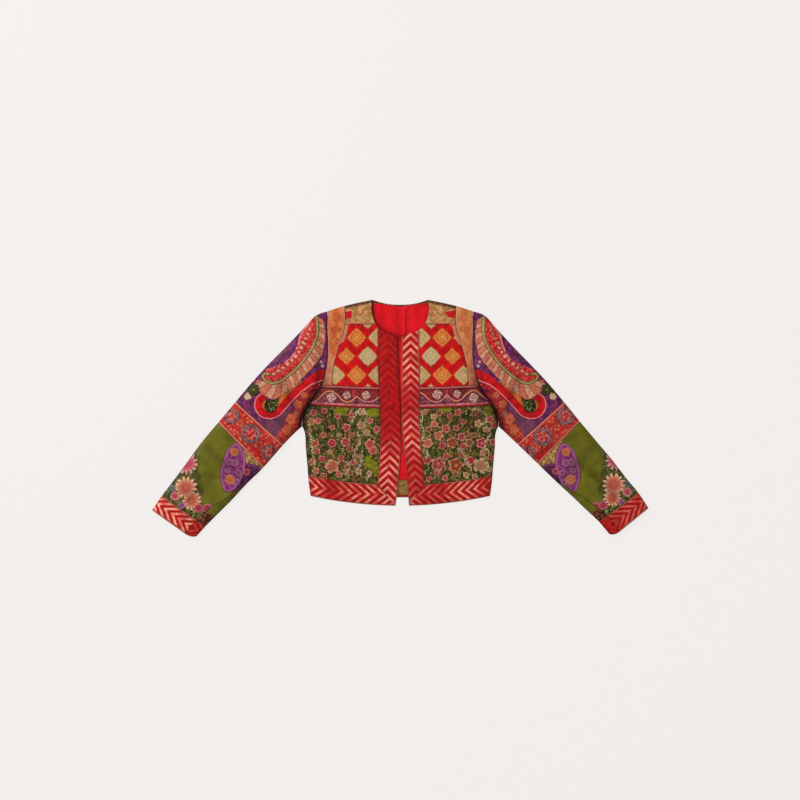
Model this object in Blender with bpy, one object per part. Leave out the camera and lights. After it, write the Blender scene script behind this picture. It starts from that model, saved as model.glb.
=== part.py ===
"""A cropped, collarless, open-front jacket in patchwork brocade, laid flat on its back.

The jacket lies front up. X runs across it, with the wearer's left at +X, Y runs from hem to neck,
and Z is up from the surface. Every piece that is cut and sewn on is a closed wall of cloth.

The fronts are a net of seams. Level seams (hem, hem band, vine border, yoke) cross standing seams
(centre front, band seam, armhole strip, side seam and armhole), and each front piece is the patch
between four of them. The two sides of a seam share its points, so neighbours never cross.
A sleeve is a flattened tube, lofted through stations from the armhole to the cuff.
"""

from functools import partial

import bmesh
import bpy
import numpy as np

# Cloth walls
PANEL_WALL = 0.0018
BAND_WALL = 0.0022
BACK_WALL = 0.0016
LINING_WALL = 0.0010
SLEEVE_WALL = 0.0017

# Gaps: half a seam's gap on each of its two sides, and the gap between layers that lie on each other
SEAM_HALF_GAP = 0.0002
LAYER_GAP = 0.0003

# Level seams of a front: y = middle + rise * (x / HALF_HEM) squared
HALF_HEM = 0.215
HEM_Y, HEM_RISE = -0.2095, 0.0235
BAND_TOP_Y, BAND_TOP_RISE = -0.1590, 0.0215
VINE_LOW_Y, VINE_LOW_RISE = 0.0245, 0.0075
VINE_HIGH_Y, VINE_HIGH_RISE = 0.0745, 0.0075
YOKE_Y = 0.2260

# Centre front, from hem to neck: how far the band's edge and its outer seam stand off the middle
CENTRE_FRONT = (
    # y, right edge, right seam, left edge, left seam
    (-0.2120, 0.0115, 0.0560, 0.0205, 0.0580),
    (-0.1580, 0.0050, 0.0547, 0.0178, 0.0574),
    (-0.0750, -0.0010, 0.0485, 0.0095, 0.0505),
    (0.0200, 0.0002, 0.0480, 0.0024, 0.0455),
    (0.0950, 0.0034, 0.0525, 0.0031, 0.0470),
    (0.1500, 0.0055, 0.0535, 0.0034, 0.0462),
    (0.2300, 0.0080, 0.0535, 0.0040, 0.0452),
)

# Inner seam of the strip beside the armhole, and the outer seam: side seam, then armhole
STRIP_SEAM = (
    # y, x
    (0.0760, 0.1640),
    (0.1120, 0.1620),
    (0.1500, 0.1535),
    (0.1800, 0.1455),
    (0.2120, 0.1350),
    (0.2290, 0.1325),
    (0.2700, 0.1330),
)
OUTER_SEAM = (
    # y, x
    (-0.1900, 0.2147),
    (-0.1570, 0.2195),
    (-0.1140, 0.2230),
    (-0.0700, 0.2270),
    (-0.0276, 0.2312),
    (-0.0190, 0.2350),
    (0.0050, 0.2325),
    (0.0270, 0.2245),
    (0.0500, 0.2085),
    (0.0820, 0.1885),
    (0.1110, 0.1800),
    (0.1430, 0.1745),
    (0.1850, 0.1740),
    (0.2200, 0.1755),
    (0.2575, 0.1740),
)
UNDERARM_Y = -0.0190

# Neck and shoulder
FRONT_NECK = (
    # x, y
    (-0.0020, 0.1965),
    (0.0100, 0.1985),
    (0.0200, 0.2030),
    (0.0455, 0.2138),
    (0.0580, 0.2260),
    (0.0655, 0.2440),
    (0.0690, 0.2640),
    (0.0670, 0.2850),
)
NECK_CORNER_Y = 0.2138
NECK_EDGE_Y = 0.1985
NECK_YOKE_X = 0.0580
STRIP_TOP_X = 0.1330
BACK_NECK = (
    # x, y
    (0.0000, 0.2730),
    (0.0200, 0.2740),
    (0.0420, 0.2775),
    (0.0560, 0.2815),
    (0.0670, 0.2850),
)
SHOULDER = (
    # x, y
    (0.0670, 0.2850),
    (0.1120, 0.2755),
    (0.1330, 0.2705),
    (0.1740, 0.2575),
)

# Back: the hem lies a little higher than the fronts' hem in the middle
BACK_HEM_Y, BACK_HEM_RISE = -0.1895, 0.0035
BACK_BAND_HEIGHT = 0.0500
FACING_HEIGHT = 0.0400
LINING_INSET_SIDE = 0.0120
LINING_INSET_NECK = 0.0030
LINING_HEM_INSET = 0.0025

# How high a front stands off the back, down its length
FRONT_LIFT = (
    # y, at the outer seam, over the middle of the front
    (-0.2100, 0.0000, 0.0035),
    (-0.1500, 0.0000, 0.0045),
    (-0.0200, 0.0000, 0.0060),
    (0.0600, 0.0012, 0.0070),
    (0.1300, 0.0032, 0.0080),
    (0.2000, 0.0050, 0.0085),
    (0.2600, 0.0045, 0.0080),
)
SIDE_REACH = 0.022
SHOULDER_REACH = 0.008
CENTRE_REACH = 0.045
CENTRE_SHARE = 0.42
HEM_DROP_REACH = 0.014
HEM_DROP_START = 0.002
HEM_DROP_Z = 0.0008

# Sleeve stations from the armhole to the cuff: the fold at the upper edge, the fold at the lower edge,
# and the place of the hind seam round the tube, where 0 is the upper fold, 1 the lower fold and 2 the
# upper fold again
RIGHT_SLEEVE = (
    # name, upper x, upper y, lower x, lower y, hind seam
    ("head", 0.1960, 0.2505, 0.2385, -0.0213, 1.12),
    ("head", 0.2100, 0.2405, 0.2420, -0.0245, 1.12),
    ("head", 0.2330, 0.2150, 0.2465, -0.0285, 1.12),
    ("biceps", 0.2720, 0.1745, 0.2535, -0.0350, 1.12),
    ("biceps", 0.3150, 0.1310, 0.2620, -0.0435, 1.12),
    ("biceps", 0.3560, 0.0865, 0.2710, -0.0530, 1.11),
    ("border top", 0.3945, 0.0405, 0.2805, -0.0630, 1.10),
    ("border foot", 0.4374, -0.0102, 0.3293, -0.1185, 1.07),
    ("elbow", 0.4762, -0.0568, 0.3680, -0.1570, 1.00),
    ("forearm", 0.5100, -0.1030, 0.4090, -0.2004, 0.91),
    ("forearm", 0.5435, -0.1480, 0.4400, -0.2310, 0.83),
    ("cuff seam", 0.5715, -0.1845, 0.4670, -0.2585, 0.80),
    ("cuff end", 0.5955, -0.2200, 0.4960, -0.2905, 0.80),
)
LEFT_SLEEVE = (
    # name, upper x, upper y, lower x, lower y, hind seam
    ("head", 0.1960, 0.2505, 0.2380, -0.0213, 1.12),
    ("head", 0.2100, 0.2405, 0.2412, -0.0243, 1.12),
    ("head", 0.2320, 0.2147, 0.2455, -0.0280, 1.12),
    ("biceps", 0.2695, 0.1740, 0.2525, -0.0345, 1.12),
    ("biceps", 0.3113, 0.1308, 0.2615, -0.0430, 1.12),
    ("biceps", 0.3530, 0.0865, 0.2705, -0.0515, 1.11),
    ("border top", 0.3925, 0.0400, 0.2805, -0.0610, 1.10),
    ("border foot", 0.4310, -0.0073, 0.3308, -0.1094, 1.07),
    ("elbow", 0.4721, -0.0564, 0.3700, -0.1480, 1.00),
    ("forearm", 0.5088, -0.1000, 0.4110, -0.1855, 0.91),
    ("forearm", 0.5440, -0.1455, 0.4460, -0.2190, 0.83),
    ("cuff seam", 0.5706, -0.1773, 0.4757, -0.2471, 0.80),
    ("cuff end", 0.5955, -0.2150, 0.5085, -0.2855, 0.80),
)
# How fast the armhole's bulge fades along the sleeve, and the rounding of the cuff's lower corner
BULGE_POWER = 1.2
CUFF_CORNER_ROUND = 0.010
CUFF_CORNER_START = 0.80
CUFF_CORNER_POWER = 2.5
ARMHOLE_GAP = 0.0005

# Sleeve height, over its length as a share of the stations' number
SLEEVE_HEIGHT = (
    # station share, height of the crown, height at the folds
    (0.00, 0.0125, 0.0105),
    (0.15, 0.0175, 0.0130),
    (0.35, 0.0165, 0.0125),
    (0.60, 0.0150, 0.0115),
    (0.85, 0.0125, 0.0100),
    (1.00, 0.0110, 0.0095),
)
HEAD_BLEND = 0.30
TOP_FOLD_SHARE = 0.14
UNDER_FOLD_SHARE = 0.09
FOLD_CENTRE_SHARE = 0.36
FLAT_CENTRE_Z = 0.00205

# The forearm seam's place round the tube, and where the hind seam leaves the armhole
FOREARM_SEAM = -0.10
HIND_START = 1.12

# Where the hind seam runs within this share of the lower fold, its neighbours close up to keep the fold
NEAR_FOLD = 0.03
FOLD_STEP = 0.005

# Places round the tube of the columns that keep the folds' shape
FORE_RINGS = (FOREARM_SEAM, -0.04, 0.0, 0.02)
LAST_TOP = 0.98
FIRST_UNDER = 1.06
FLAT_UNDER = 1.16
HIND_STEPS = (0.0, 0.25, 0.5, 0.75)
LAST_UNDER_GAP = 0.03

# How far from a front's seams, and from a sleeve's folds as a share, the cloth's folds fade out
FOLD_FADE = 0.03
SLEEVE_FOLD_FADE = 0.2

# Largest folds of the cloth, as soft troughs (depth below 0 is a ridge)
FOLDS = (
    # side, x, y, heading in degrees, length, width, depth
    ("right", 0.262, 0.045, 62, 0.070, 0.011, 0.0030),
    ("right", 0.300, 0.010, 50, 0.055, 0.010, 0.0024),
    ("right", 0.345, -0.065, 28, 0.045, 0.010, 0.0022),
    ("right", 0.420, -0.105, 40, 0.060, 0.011, 0.0024),
    ("right", 0.470, -0.165, -38, 0.050, 0.010, 0.0018),
    ("right", 0.185, 0.015, 20, 0.045, 0.011, 0.0022),
    ("right", 0.120, -0.060, 82, 0.075, 0.014, 0.0013),
    ("left", 0.266, 0.050, 66, 0.075, 0.011, 0.0030),
    ("left", 0.310, 0.020, 45, 0.050, 0.010, 0.0022),
    ("left", 0.352, -0.070, 35, 0.045, 0.010, 0.0024),
    ("left", 0.430, -0.100, 48, 0.060, 0.011, 0.0022),
    ("left", 0.485, -0.155, -42, 0.050, 0.010, 0.0018),
    ("left", 0.190, 0.010, 15, 0.045, 0.011, 0.0024),
    ("left", 0.135, -0.070, 98, 0.070, 0.014, 0.0013),
)

# Mesh steps between neighbouring seams
STEPS_BAND = 3
STEPS_HEM_BAND = 3
STEPS_PANEL = 7
STEPS_STRIP = 2
STEPS_SIDE = 6
STEPS_UNDERARM = 3
STEPS_VINE = 3
STEPS_UPPER = 6
STEPS_NECK_CORNER = 1
STEPS_YOKE = 3
STEPS_BACK = 14
STEPS_BACK_NECK = 3
STEPS_LINING = 12
STEPS_LINING_NECK = 2
STEPS_FACING_SIDE = 2
CURVE_POINTS = 400
SMOOTH_ANGLE = np.radians(40)

# Cloth colours, with roughness and metallic value
FINISHES = {
    "chevron_braid": ((0.62, 0.05, 0.04), 0.45, 0.15),
    "green_brocade": ((0.12, 0.14, 0.03), 0.60, 0.05),
    "vine_brocade": ((0.20, 0.05, 0.12), 0.60, 0.05),
    "diamond_brocade": ((0.60, 0.02, 0.02), 0.55, 0.05),
    "gold_brocade": ((0.48, 0.30, 0.12), 0.50, 0.15),
    "trellis_brocade": ((0.65, 0.28, 0.10), 0.55, 0.10),
    "paisley_brocade": ((0.30, 0.06, 0.22), 0.60, 0.05),
    "rosette_brocade": ((0.55, 0.08, 0.06), 0.55, 0.05),
    "red_lining": ((0.60, 0.01, 0.02), 0.50, 0.00),
    "facing_cloth": ((0.25, 0.20, 0.09), 0.60, 0.00),
}


def column(table, index):
    """One column of a table as an array."""
    return np.array([row[index] for row in table], dtype=float)


def smooth(table, at, value, where):
    """Reads a table's column `value` against its column `at`, with a cubic through the rows."""
    x = column(table, at)
    y = column(table, value)
    order = np.argsort(x)
    x, y = x[order], y[order]
    slope = np.gradient(y, x)
    where = np.clip(np.asarray(where, dtype=float), x[0], x[-1])
    k = np.clip(np.searchsorted(x, where) - 1, 0, len(x) - 2)
    step = x[k + 1] - x[k]
    t = (where - x[k]) / step
    start = (1 + 2 * t) * (1 - t) ** 2 * y[k] + t * (1 - t) ** 2 * step * slope[k]
    end = t * t * (3 - 2 * t) * y[k + 1] + t * t * (t - 1) * step * slope[k + 1]
    return start + end


def level(middle, rise, x):
    """A level seam's y at x."""
    return middle + rise * (np.asarray(x, dtype=float) / HALF_HEM) ** 2


def hem_y(x):
    return level(HEM_Y, HEM_RISE, x)


def band_top_y(x):
    return level(BAND_TOP_Y, BAND_TOP_RISE, x)


def vine_low_y(x):
    return level(VINE_LOW_Y, VINE_LOW_RISE, x)


def vine_high_y(x):
    return level(VINE_HIGH_Y, VINE_HIGH_RISE, x)


def back_hem_y(x):
    return level(BACK_HEM_Y, BACK_HEM_RISE, x)


def back_band_y(x):
    return back_hem_y(x) + BACK_BAND_HEIGHT


def facing_low_y(x):
    return back_hem_y(x) + LINING_HEM_INSET


def facing_high_y(x):
    return facing_low_y(x) + FACING_HEIGHT


def outer_x(y):
    return smooth(OUTER_SEAM, 0, 1, y)


def strip_x(y):
    return smooth(STRIP_SEAM, 0, 1, y)


def shoulder_y(x):
    return smooth(SHOULDER, 0, 1, x)


def edge_x(side, y):
    return smooth(CENTRE_FRONT, 0, 1 if side == "right" else 3, y)


def band_x(side, y):
    return smooth(CENTRE_FRONT, 0, 2 if side == "right" else 4, y)


def meet(standing, row):
    """The point where a standing seam x(y) crosses a level seam y(x), by repeated substitution."""
    x = HALF_HEM / 2
    for _ in range(12):
        x = float(standing(row(x)))
    return np.array([x, float(row(x))])


def standing_line(standing, low, high, steps):
    """Points of a standing seam from point `low` to point `high`, at even heights."""
    y = np.linspace(low[1], high[1], steps + 1)
    points = np.column_stack([standing(y), y])
    points[0], points[-1] = low, high
    return points


def level_line(row, start, end, steps):
    """Points of a level seam from point `start` to point `end`, at even widths."""
    x = np.linspace(start[0], end[0], steps + 1)
    points = np.column_stack([x, row(x)])
    points[0], points[-1] = start, end
    return points


def straight_line(start, end, steps):
    t = np.linspace(0, 1, steps + 1)[:, None]
    return (1 - t) * np.asarray(start) + t * np.asarray(end)


def curve_part(table, start, end, steps):
    """Points along a curve given by its rows of x and y, between its points nearest `start` and `end`."""
    knots = np.column_stack([column(table, 0), column(table, 1)])
    lengths = np.linalg.norm(np.diff(knots, axis=0), axis=1)
    along = np.concatenate([[0], np.cumsum(lengths)])
    fine = np.linspace(0, along[-1], CURVE_POINTS)
    rows = [(a, k[0], k[1]) for a, k in zip(along, knots)]
    dense = np.column_stack([smooth(rows, 0, 1, fine), smooth(rows, 0, 2, fine)])
    first = np.argmin(np.linalg.norm(dense - start, axis=1))
    last = np.argmin(np.linalg.norm(dense - end, axis=1))
    part = dense[first : last + 1]
    lengths = np.linalg.norm(np.diff(part, axis=0), axis=1)
    share = np.concatenate([[0], np.cumsum(lengths)])
    stops = np.linspace(0, share[-1], steps + 1)
    points = np.column_stack([np.interp(stops, share, part[:, k]) for k in (0, 1)])
    points[0], points[-1] = start, end
    return points


def join(*parts):
    """Lines end to end, with each shared point once."""
    return np.vstack([parts[0]] + [part[1:] for part in parts[1:]])


def shares(line):
    """How far along a line each of its points lies, from 0 to 1."""
    run = np.concatenate([[0], np.cumsum(np.linalg.norm(np.diff(line, axis=0), axis=1))])
    return run / run[-1]


def patch(south, north, west, east):
    """A Coons patch: the grid of points that fills four seams which meet at its corners."""
    u = ((shares(south) + shares(north)) / 2)[None, :, None]
    v = ((shares(west) + shares(east)) / 2)[:, None, None]
    across = (1 - v) * south[None] + v * north[None]
    along = (1 - u) * west[:, None] + u * east[:, None]
    low = (1 - u) * south[0] + u * south[-1]
    high = (1 - u) * north[0] + u * north[-1]
    return across + along - (1 - v) * low - v * high


def draw_in(grid, gap):
    """Moves the points on a grid's four sides inwards by a gap."""
    grid = grid.copy()
    for lines in (grid, grid.transpose(1, 0, 2)):
        for edge, inner in ((0, 1), (-1, -2)):
            step = lines[inner] - lines[edge]
            lines[edge] += gap * step / np.linalg.norm(step, axis=1, keepdims=True)
    return grid


def rise(distance, reach):
    """From 0 at an edge towards 1 away from it."""
    return 1 - np.exp(-np.maximum(distance, 0) / reach)


def ease(t):
    t = np.clip(t, 0, 1)
    return t * t * (3 - 2 * t)


def fold_depth(side, x, y):
    """How deep the folds of one side of the jacket are at plan points."""
    depth = np.zeros_like(x)
    for name, at_x, at_y, heading, length, width, deep in FOLDS:
        if name != side:
            continue
        c, s = np.cos(np.radians(heading)), np.sin(np.radians(heading))
        along = (x - at_x) * c + (y - at_y) * s
        aside = (y - at_y) * c - (x - at_x) * s
        depth += deep * np.exp(-((along / length) ** 2) - (aside / width) ** 2)
    return depth


def front_under(side, x, y):
    """Height of the underside of a front over the surface.

    It starts on the back at the outer seam and the shoulder, rises to its lift, sinks again to the
    centre front, and falls where the front's hem lies beyond the back's.
    """
    floor = BACK_WALL + LAYER_GAP
    edge = smooth(FRONT_LIFT, 0, 1, y)
    middle = smooth(FRONT_LIFT, 0, 2, y)
    lift = edge + (middle - edge) * rise(outer_x(y) - x, SIDE_REACH)
    lift *= rise(shoulder_y(x) - y, SHOULDER_REACH)
    lift *= CENTRE_SHARE + (1 - CENTRE_SHARE) * rise(x - edge_x(side, y), CENTRE_REACH)
    inside = ease((outer_x(y) - x) / FOLD_FADE) * ease((shoulder_y(x) - y) / FOLD_FADE)
    height = floor + lift - fold_depth(side, x, y) * inside
    drop = ease((back_hem_y(x) - HEM_DROP_START - y) / HEM_DROP_REACH)
    return height * (1 - drop) + HEM_DROP_Z * drop


class Front:
    """The seams of one front, in outward x, and the patches between them."""

    def __init__(self, side):
        self.side = side
        edge = partial(edge_x, side)
        band = partial(band_x, side)
        hem_edge = meet(edge, hem_y)
        hem_side = meet(outer_x, hem_y)
        top_band = meet(band, band_top_y)
        top_side = meet(outer_x, band_top_y)
        low_band = meet(band, vine_low_y)
        low_side = meet(outer_x, vine_low_y)
        high_band = meet(band, vine_high_y)
        high_strip = meet(strip_x, vine_high_y)
        high_side = meet(outer_x, vine_high_y)
        neck_band = np.array([float(band(NECK_CORNER_Y)), NECK_CORNER_Y])
        neck_edge = np.array([float(edge(NECK_EDGE_Y)), NECK_EDGE_Y])
        neck_yoke = np.array([NECK_YOKE_X, YOKE_Y])
        strip_yoke = np.array([float(strip_x(YOKE_Y)), YOKE_Y])
        strip_top = np.array([STRIP_TOP_X, float(shoulder_y(STRIP_TOP_X))])
        neck_top = np.array(SHOULDER[0])
        tip = np.array(SHOULDER[-1])
        underarm = np.array([float(outer_x(UNDERARM_Y)), UNDERARM_Y])

        n = STEPS_PANEL + STEPS_STRIP
        self.mitre = straight_line(hem_edge, top_band, STEPS_BAND)
        self.hem = level_line(hem_y, hem_edge, hem_side, n)
        self.side_band = standing_line(outer_x, hem_side, top_side, STEPS_BAND)
        self.band_top = level_line(band_top_y, top_band, top_side, n)
        self.seam_panel = standing_line(band, top_band, low_band, STEPS_SIDE + STEPS_UNDERARM)
        self.side_panel = join(
            standing_line(outer_x, top_side, underarm, STEPS_SIDE),
            standing_line(outer_x, underarm, low_side, STEPS_UNDERARM),
        )
        self.vine_low = level_line(vine_low_y, low_band, low_side, n)
        self.seam_vine = standing_line(band, low_band, high_band, STEPS_VINE)
        self.side_vine = standing_line(outer_x, low_side, high_side, STEPS_VINE)
        self.vine_high_panel = level_line(vine_high_y, high_band, high_strip, STEPS_PANEL)
        self.vine_high_strip = level_line(vine_high_y, high_strip, high_side, STEPS_STRIP)
        self.seam_upper = standing_line(band, high_band, neck_band, STEPS_UPPER)
        self.neck_corner = curve_part(FRONT_NECK, neck_band, neck_yoke, STEPS_NECK_CORNER)
        self.strip_upper = standing_line(strip_x, high_strip, strip_yoke, STEPS_UPPER + STEPS_NECK_CORNER)
        self.yoke_low = straight_line(neck_yoke, strip_yoke, STEPS_PANEL)
        self.neck_yoke = curve_part(FRONT_NECK, neck_yoke, neck_top, STEPS_YOKE)
        self.strip_yoke = standing_line(strip_x, strip_yoke, strip_top, STEPS_YOKE)
        self.shoulder_yoke = curve_part(SHOULDER, neck_top, strip_top, STEPS_PANEL)
        self.shoulder_strip = curve_part(SHOULDER, strip_top, tip, STEPS_STRIP)
        strip_steps = STEPS_UPPER + STEPS_NECK_CORNER + STEPS_YOKE
        self.armhole_strip = standing_line(outer_x, high_side, tip, strip_steps)
        self.neck_band = curve_part(FRONT_NECK, neck_edge, neck_band, STEPS_BAND)
        band_steps = STEPS_SIDE + STEPS_UNDERARM + STEPS_VINE + STEPS_UPPER
        self.edge = standing_line(edge, hem_edge, neck_edge, band_steps)

    def armhole(self):
        """The armhole from the underarm to the shoulder tip."""
        return join(self.side_panel[STEPS_SIDE:], self.side_vine, self.armhole_strip)

    def outer(self):
        """The side seam above the hem band and the armhole."""
        return join(self.side_panel, self.side_vine, self.armhole_strip)

    def pieces(self):
        """Each front piece's name, finish and four seams."""
        seam = join(self.seam_panel, self.seam_vine, self.seam_upper)
        vine_high = join(self.vine_high_panel, self.vine_high_strip)
        inner_upper = join(self.seam_upper, self.neck_corner)
        inner_strip = join(self.strip_upper, self.strip_yoke)
        band = (self.mitre, self.neck_band, self.edge, seam)
        hem_band = (self.hem, self.band_top, self.mitre, self.side_band)
        lower = (self.band_top, self.vine_low, self.seam_panel, self.side_panel)
        vine = (self.vine_low, vine_high, self.seam_vine, self.side_vine)
        upper = (self.vine_high_panel, self.yoke_low, inner_upper, self.strip_upper)
        yoke = (self.yoke_low, self.shoulder_yoke, self.neck_yoke, self.strip_yoke)
        strip = (self.vine_high_strip, self.shoulder_strip, inner_strip, self.armhole_strip)
        return (
            ("front_band", "chevron_braid", band),
            ("front_hem_band", "chevron_braid", hem_band),
            ("lower_panel", "green_brocade", lower),
            ("vine_border", "vine_brocade", vine),
            ("upper_panel", "diamond_brocade", upper),
            ("yoke", "gold_brocade", yoke),
            ("armhole_strip", "trellis_brocade", strip),
        )


class Sleeve:
    """One sleeve as a flattened tube, lofted from the armhole through its stations."""

    def __init__(self, side, armhole):
        self.side = side
        table = RIGHT_SLEEVE if side == "right" else LEFT_SLEEVE
        self.names = [row[0] for row in table]
        self.armhole = armhole[::-1]
        upper = np.vstack([self.armhole[0], [row[1:3] for row in table]])
        lower = np.vstack([self.armhole[-1], [row[3:5] for row in table]])
        self.upper, self.lower = upper, lower
        self.hind = [HIND_START] + [row[5] for row in table]
        self.count = len(upper)
        self.head_end = self.names.index("border top") + 1
        self.cuff_seam = self.names.index("cuff seam") + 1
        self.across = shares(self.armhole)

    def plan(self, station, a):
        """Plan points across one station at shares `a` from the upper to the lower fold."""
        a = np.asarray(a, dtype=float)[:, None]
        straight = (1 - a) * self.upper[station] + a * self.lower[station]
        if station < self.head_end:
            bulge = np.column_stack([np.interp(a[:, 0], self.across, self.armhole[:, k]) for k in (0, 1)])
            bulge -= (1 - a) * self.armhole[0] + a * self.armhole[-1]
            ahead = shares((self.upper[: self.head_end + 1] + self.lower[: self.head_end + 1]) / 2)
            straight = straight + (1 - ahead[station]) ** BULGE_POWER * bulge
        if station == 0:
            nearer = self.plan(1, a[:, 0]) - straight
            straight = straight + ARMHOLE_GAP * nearer / np.linalg.norm(nearer, axis=1, keepdims=True)
        if station == self.count - 1:
            back = self.lower[station - 1] - self.lower[station]
            back = back / np.linalg.norm(back)
            corner = np.clip((a - CUFF_CORNER_START) / (1 - CUFF_CORNER_START), 0, 1)
            straight = straight + CUFF_CORNER_ROUND * corner**CUFF_CORNER_POWER * back
        return straight

    def section(self, station, ring, shrink):
        """Points round one station at ring places, at the depth `shrink` below the outside."""
        share = station / (self.count - 1)
        ring = np.asarray(ring, dtype=float)
        top = (ring > 0) & (ring < 1)
        a = np.where(ring < 0, -ring, np.where(ring > 1, 2 - ring, ring))
        width = np.linalg.norm(self.upper[station] - self.lower[station])
        plan = self.plan(station, 0.5 + (a - 0.5) * (1 - 2 * shrink / width))
        crown = smooth(SLEEVE_HEIGHT, 0, 1, share)
        edge = smooth(SLEEVE_HEIGHT, 0, 2, share)
        height = edge + (crown - edge) * np.sin(np.pi * a)
        centre = FOLD_CENTRE_SHARE * edge
        head = ease(station / self.head_end / HEAD_BLEND)
        if head < 1:
            seam = self.plan(0, a)
            cloth = front_under(self.side, seam[:, 0], seam[:, 1]) + PANEL_WALL
            height = (1 - head) * cloth + head * height
            centre = (1 - head) * FLAT_CENTRE_Z + head * centre
        inside = ease(a / SLEEVE_FOLD_FADE) * ease((1 - a) / SLEEVE_FOLD_FADE) * head
        height = height - fold_depth(self.side, plan[:, 0], plan[:, 1]) * inside
        from_fold = np.minimum(a, 1 - a)
        top_round = np.sqrt(1 - (1 - np.clip(from_fold / TOP_FOLD_SHARE, 0, 1)) ** 2)
        under_round = np.sqrt(1 - (1 - np.clip(from_fold / UNDER_FOLD_SHARE, 0, 1)) ** 2)
        over = (height - centre) * top_round
        under = centre * under_round
        over *= (height - shrink - centre) / (height - centre)
        under *= (centre - shrink) / centre
        return np.column_stack([plan, np.where(top, centre + over, centre - under)])

    def top_ring(self, station):
        """Ring places of the top sleeve's points, from the forearm seam over the top to the hind seam."""
        hind = self.hind[station]
        if hind > 1 + NEAR_FOLD:
            last = [LAST_TOP, 1.0, (1 + hind) / 2, hind]
        else:
            step = FOLD_STEP if hind > 1 - NEAR_FOLD else 4 * FOLD_STEP
            last = [hind - 3 * step, hind - 2 * step, hind - step, hind]
        over = self.across[1:-1]
        over = np.where(over < 0.5, over, 0.5 + (over - 0.5) * (last[0] - 0.5) / (LAST_TOP - 0.5))
        return np.concatenate([FORE_RINGS, over, last])

    def under_ring(self, station):
        """Ring places of the under sleeve's points, from the hind seam under the tube to the forearm seam."""
        hind = self.hind[station]
        if hind < 1 - NEAR_FOLD:
            first = [hind, (1 + hind) / 2, 1.0, FIRST_UNDER]
        elif hind < 1 + NEAR_FOLD:
            first = [hind, 1 + FOLD_STEP, 1 + 2 * FOLD_STEP, FIRST_UNDER]
        else:
            first = hind + (FLAT_UNDER - hind) * np.array(HIND_STEPS)
        under = 2 - self.across[::-1]
        end = 2 + FOREARM_SEAM
        flat = under[(under > FLAT_UNDER) & (under < end - LAST_UNDER_GAP)]
        return np.concatenate([first, flat, [end]])

    def wall(self, first, last, ring_at):
        """The outer and inner grids of a sleeve piece between two stations."""
        grids = []
        for shrink in (0.0, SLEEVE_WALL):
            rows = [self.section(k, ring_at(k), shrink) for k in range(first, last + 1)]
            grids.append(draw_in(np.array(rows), SEAM_HALF_GAP))
        return grids

    def pieces(self):
        """Each sleeve piece's name, finish and wall."""
        head, foot, seam, end = self.head_end, self.head_end + 1, self.cuff_seam, self.count - 1
        return (
            ("sleeve_top_upper", "paisley_brocade", self.wall(0, head, self.top_ring)),
            ("sleeve_border", "rosette_brocade", self.wall(head, foot, self.top_ring)),
            ("sleeve_top_lower", "green_brocade", self.wall(foot, seam, self.top_ring)),
            ("sleeve_under", "paisley_brocade", self.wall(0, seam, self.under_ring)),
            ("cuff_top", "chevron_braid", self.wall(seam, end, self.top_ring)),
            ("cuff_under", "chevron_braid", self.wall(seam, end, self.under_ring)),
        )


def clear_scene():
    for item in list(bpy.data.objects):
        bpy.data.objects.remove(item, do_unlink=True)


def material(finish):
    """A Principled material of one finish."""
    colour, roughness, metallic = FINISHES[finish]
    made = bpy.data.materials.new(finish)
    made.use_nodes = True
    shader = made.node_tree.nodes["Principled BSDF"]
    shader.inputs["Base Color"].default_value = (*colour, 1.0)
    shader.inputs["Roughness"].default_value = roughness
    shader.inputs["Metallic"].default_value = metallic
    return made


def wall_object(name, outer, inner, finish, sign):
    """A closed wall between two grids of points of one size; `sign` puts it on its side."""
    rows, columns = outer.shape[:2]
    points = np.concatenate([outer.reshape(-1, 3), inner.reshape(-1, 3)]) * (sign, 1, 1)
    index = np.arange(rows * columns).reshape(rows, columns)
    corners = (index[:-1, :-1], index[:-1, 1:], index[1:, 1:], index[1:, :-1])
    quads = np.stack(corners, axis=-1).reshape(-1, 4)
    rim = np.concatenate([index[0, :], index[1:, -1], index[-1, -2::-1], index[-2:0:-1, 0]])
    after = np.roll(rim, -1)
    other = rows * columns
    rim_quads = np.stack([after, rim, rim + other, after + other], axis=-1)
    faces = np.concatenate([quads, quads[:, ::-1] + other, rim_quads])
    mesh = bpy.data.meshes.new(name)
    mesh.from_pydata(points.tolist(), [], faces.tolist())
    shape = bmesh.new()
    shape.from_mesh(mesh)
    bmesh.ops.recalc_face_normals(shape, faces=shape.faces)
    shape.to_mesh(mesh)
    shape.free()
    mesh.shade_smooth()
    mesh.set_sharp_from_angle(angle=SMOOTH_ANGLE)
    mesh.materials.append(material(finish))
    item = bpy.data.objects.new(name, mesh)
    bpy.context.scene.collection.objects.link(item)
    return item


def flat_wall(name, plan, low, wall, finish):
    """A wall that lies level, its underside at height `low`."""
    plan = draw_in(plan, SEAM_HALF_GAP)
    under = np.full(plan.shape[:2], low)[..., None]
    outer = np.concatenate([plan, under + wall], -1)
    inner = np.concatenate([plan, under], -1)
    wall_object(name, outer, inner, finish, 1)


def build_front(front, sign):
    """The seven pieces of one front."""
    for name, finish, seams in front.pieces():
        plan = draw_in(patch(*seams), SEAM_HALF_GAP)
        under = front_under(front.side, plan[..., 0], plan[..., 1])[..., None]
        wall = BAND_WALL if finish == "chevron_braid" else PANEL_WALL
        outer = np.concatenate([plan, under + wall], -1)
        inner = np.concatenate([plan, under], -1)
        wall_object(f"{name}_{front.side}", outer, inner, finish, sign)


def build_sleeve(sleeve, sign):
    """The six pieces of one sleeve."""
    for name, finish, (outer, inner) in sleeve.pieces():
        wall_object(f"{name}_{sleeve.side}", outer, inner, finish, sign)


def mirrored(line):
    """A line on the right side of the jacket, as seen from its start in the middle."""
    return line * (-1, 1)


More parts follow.
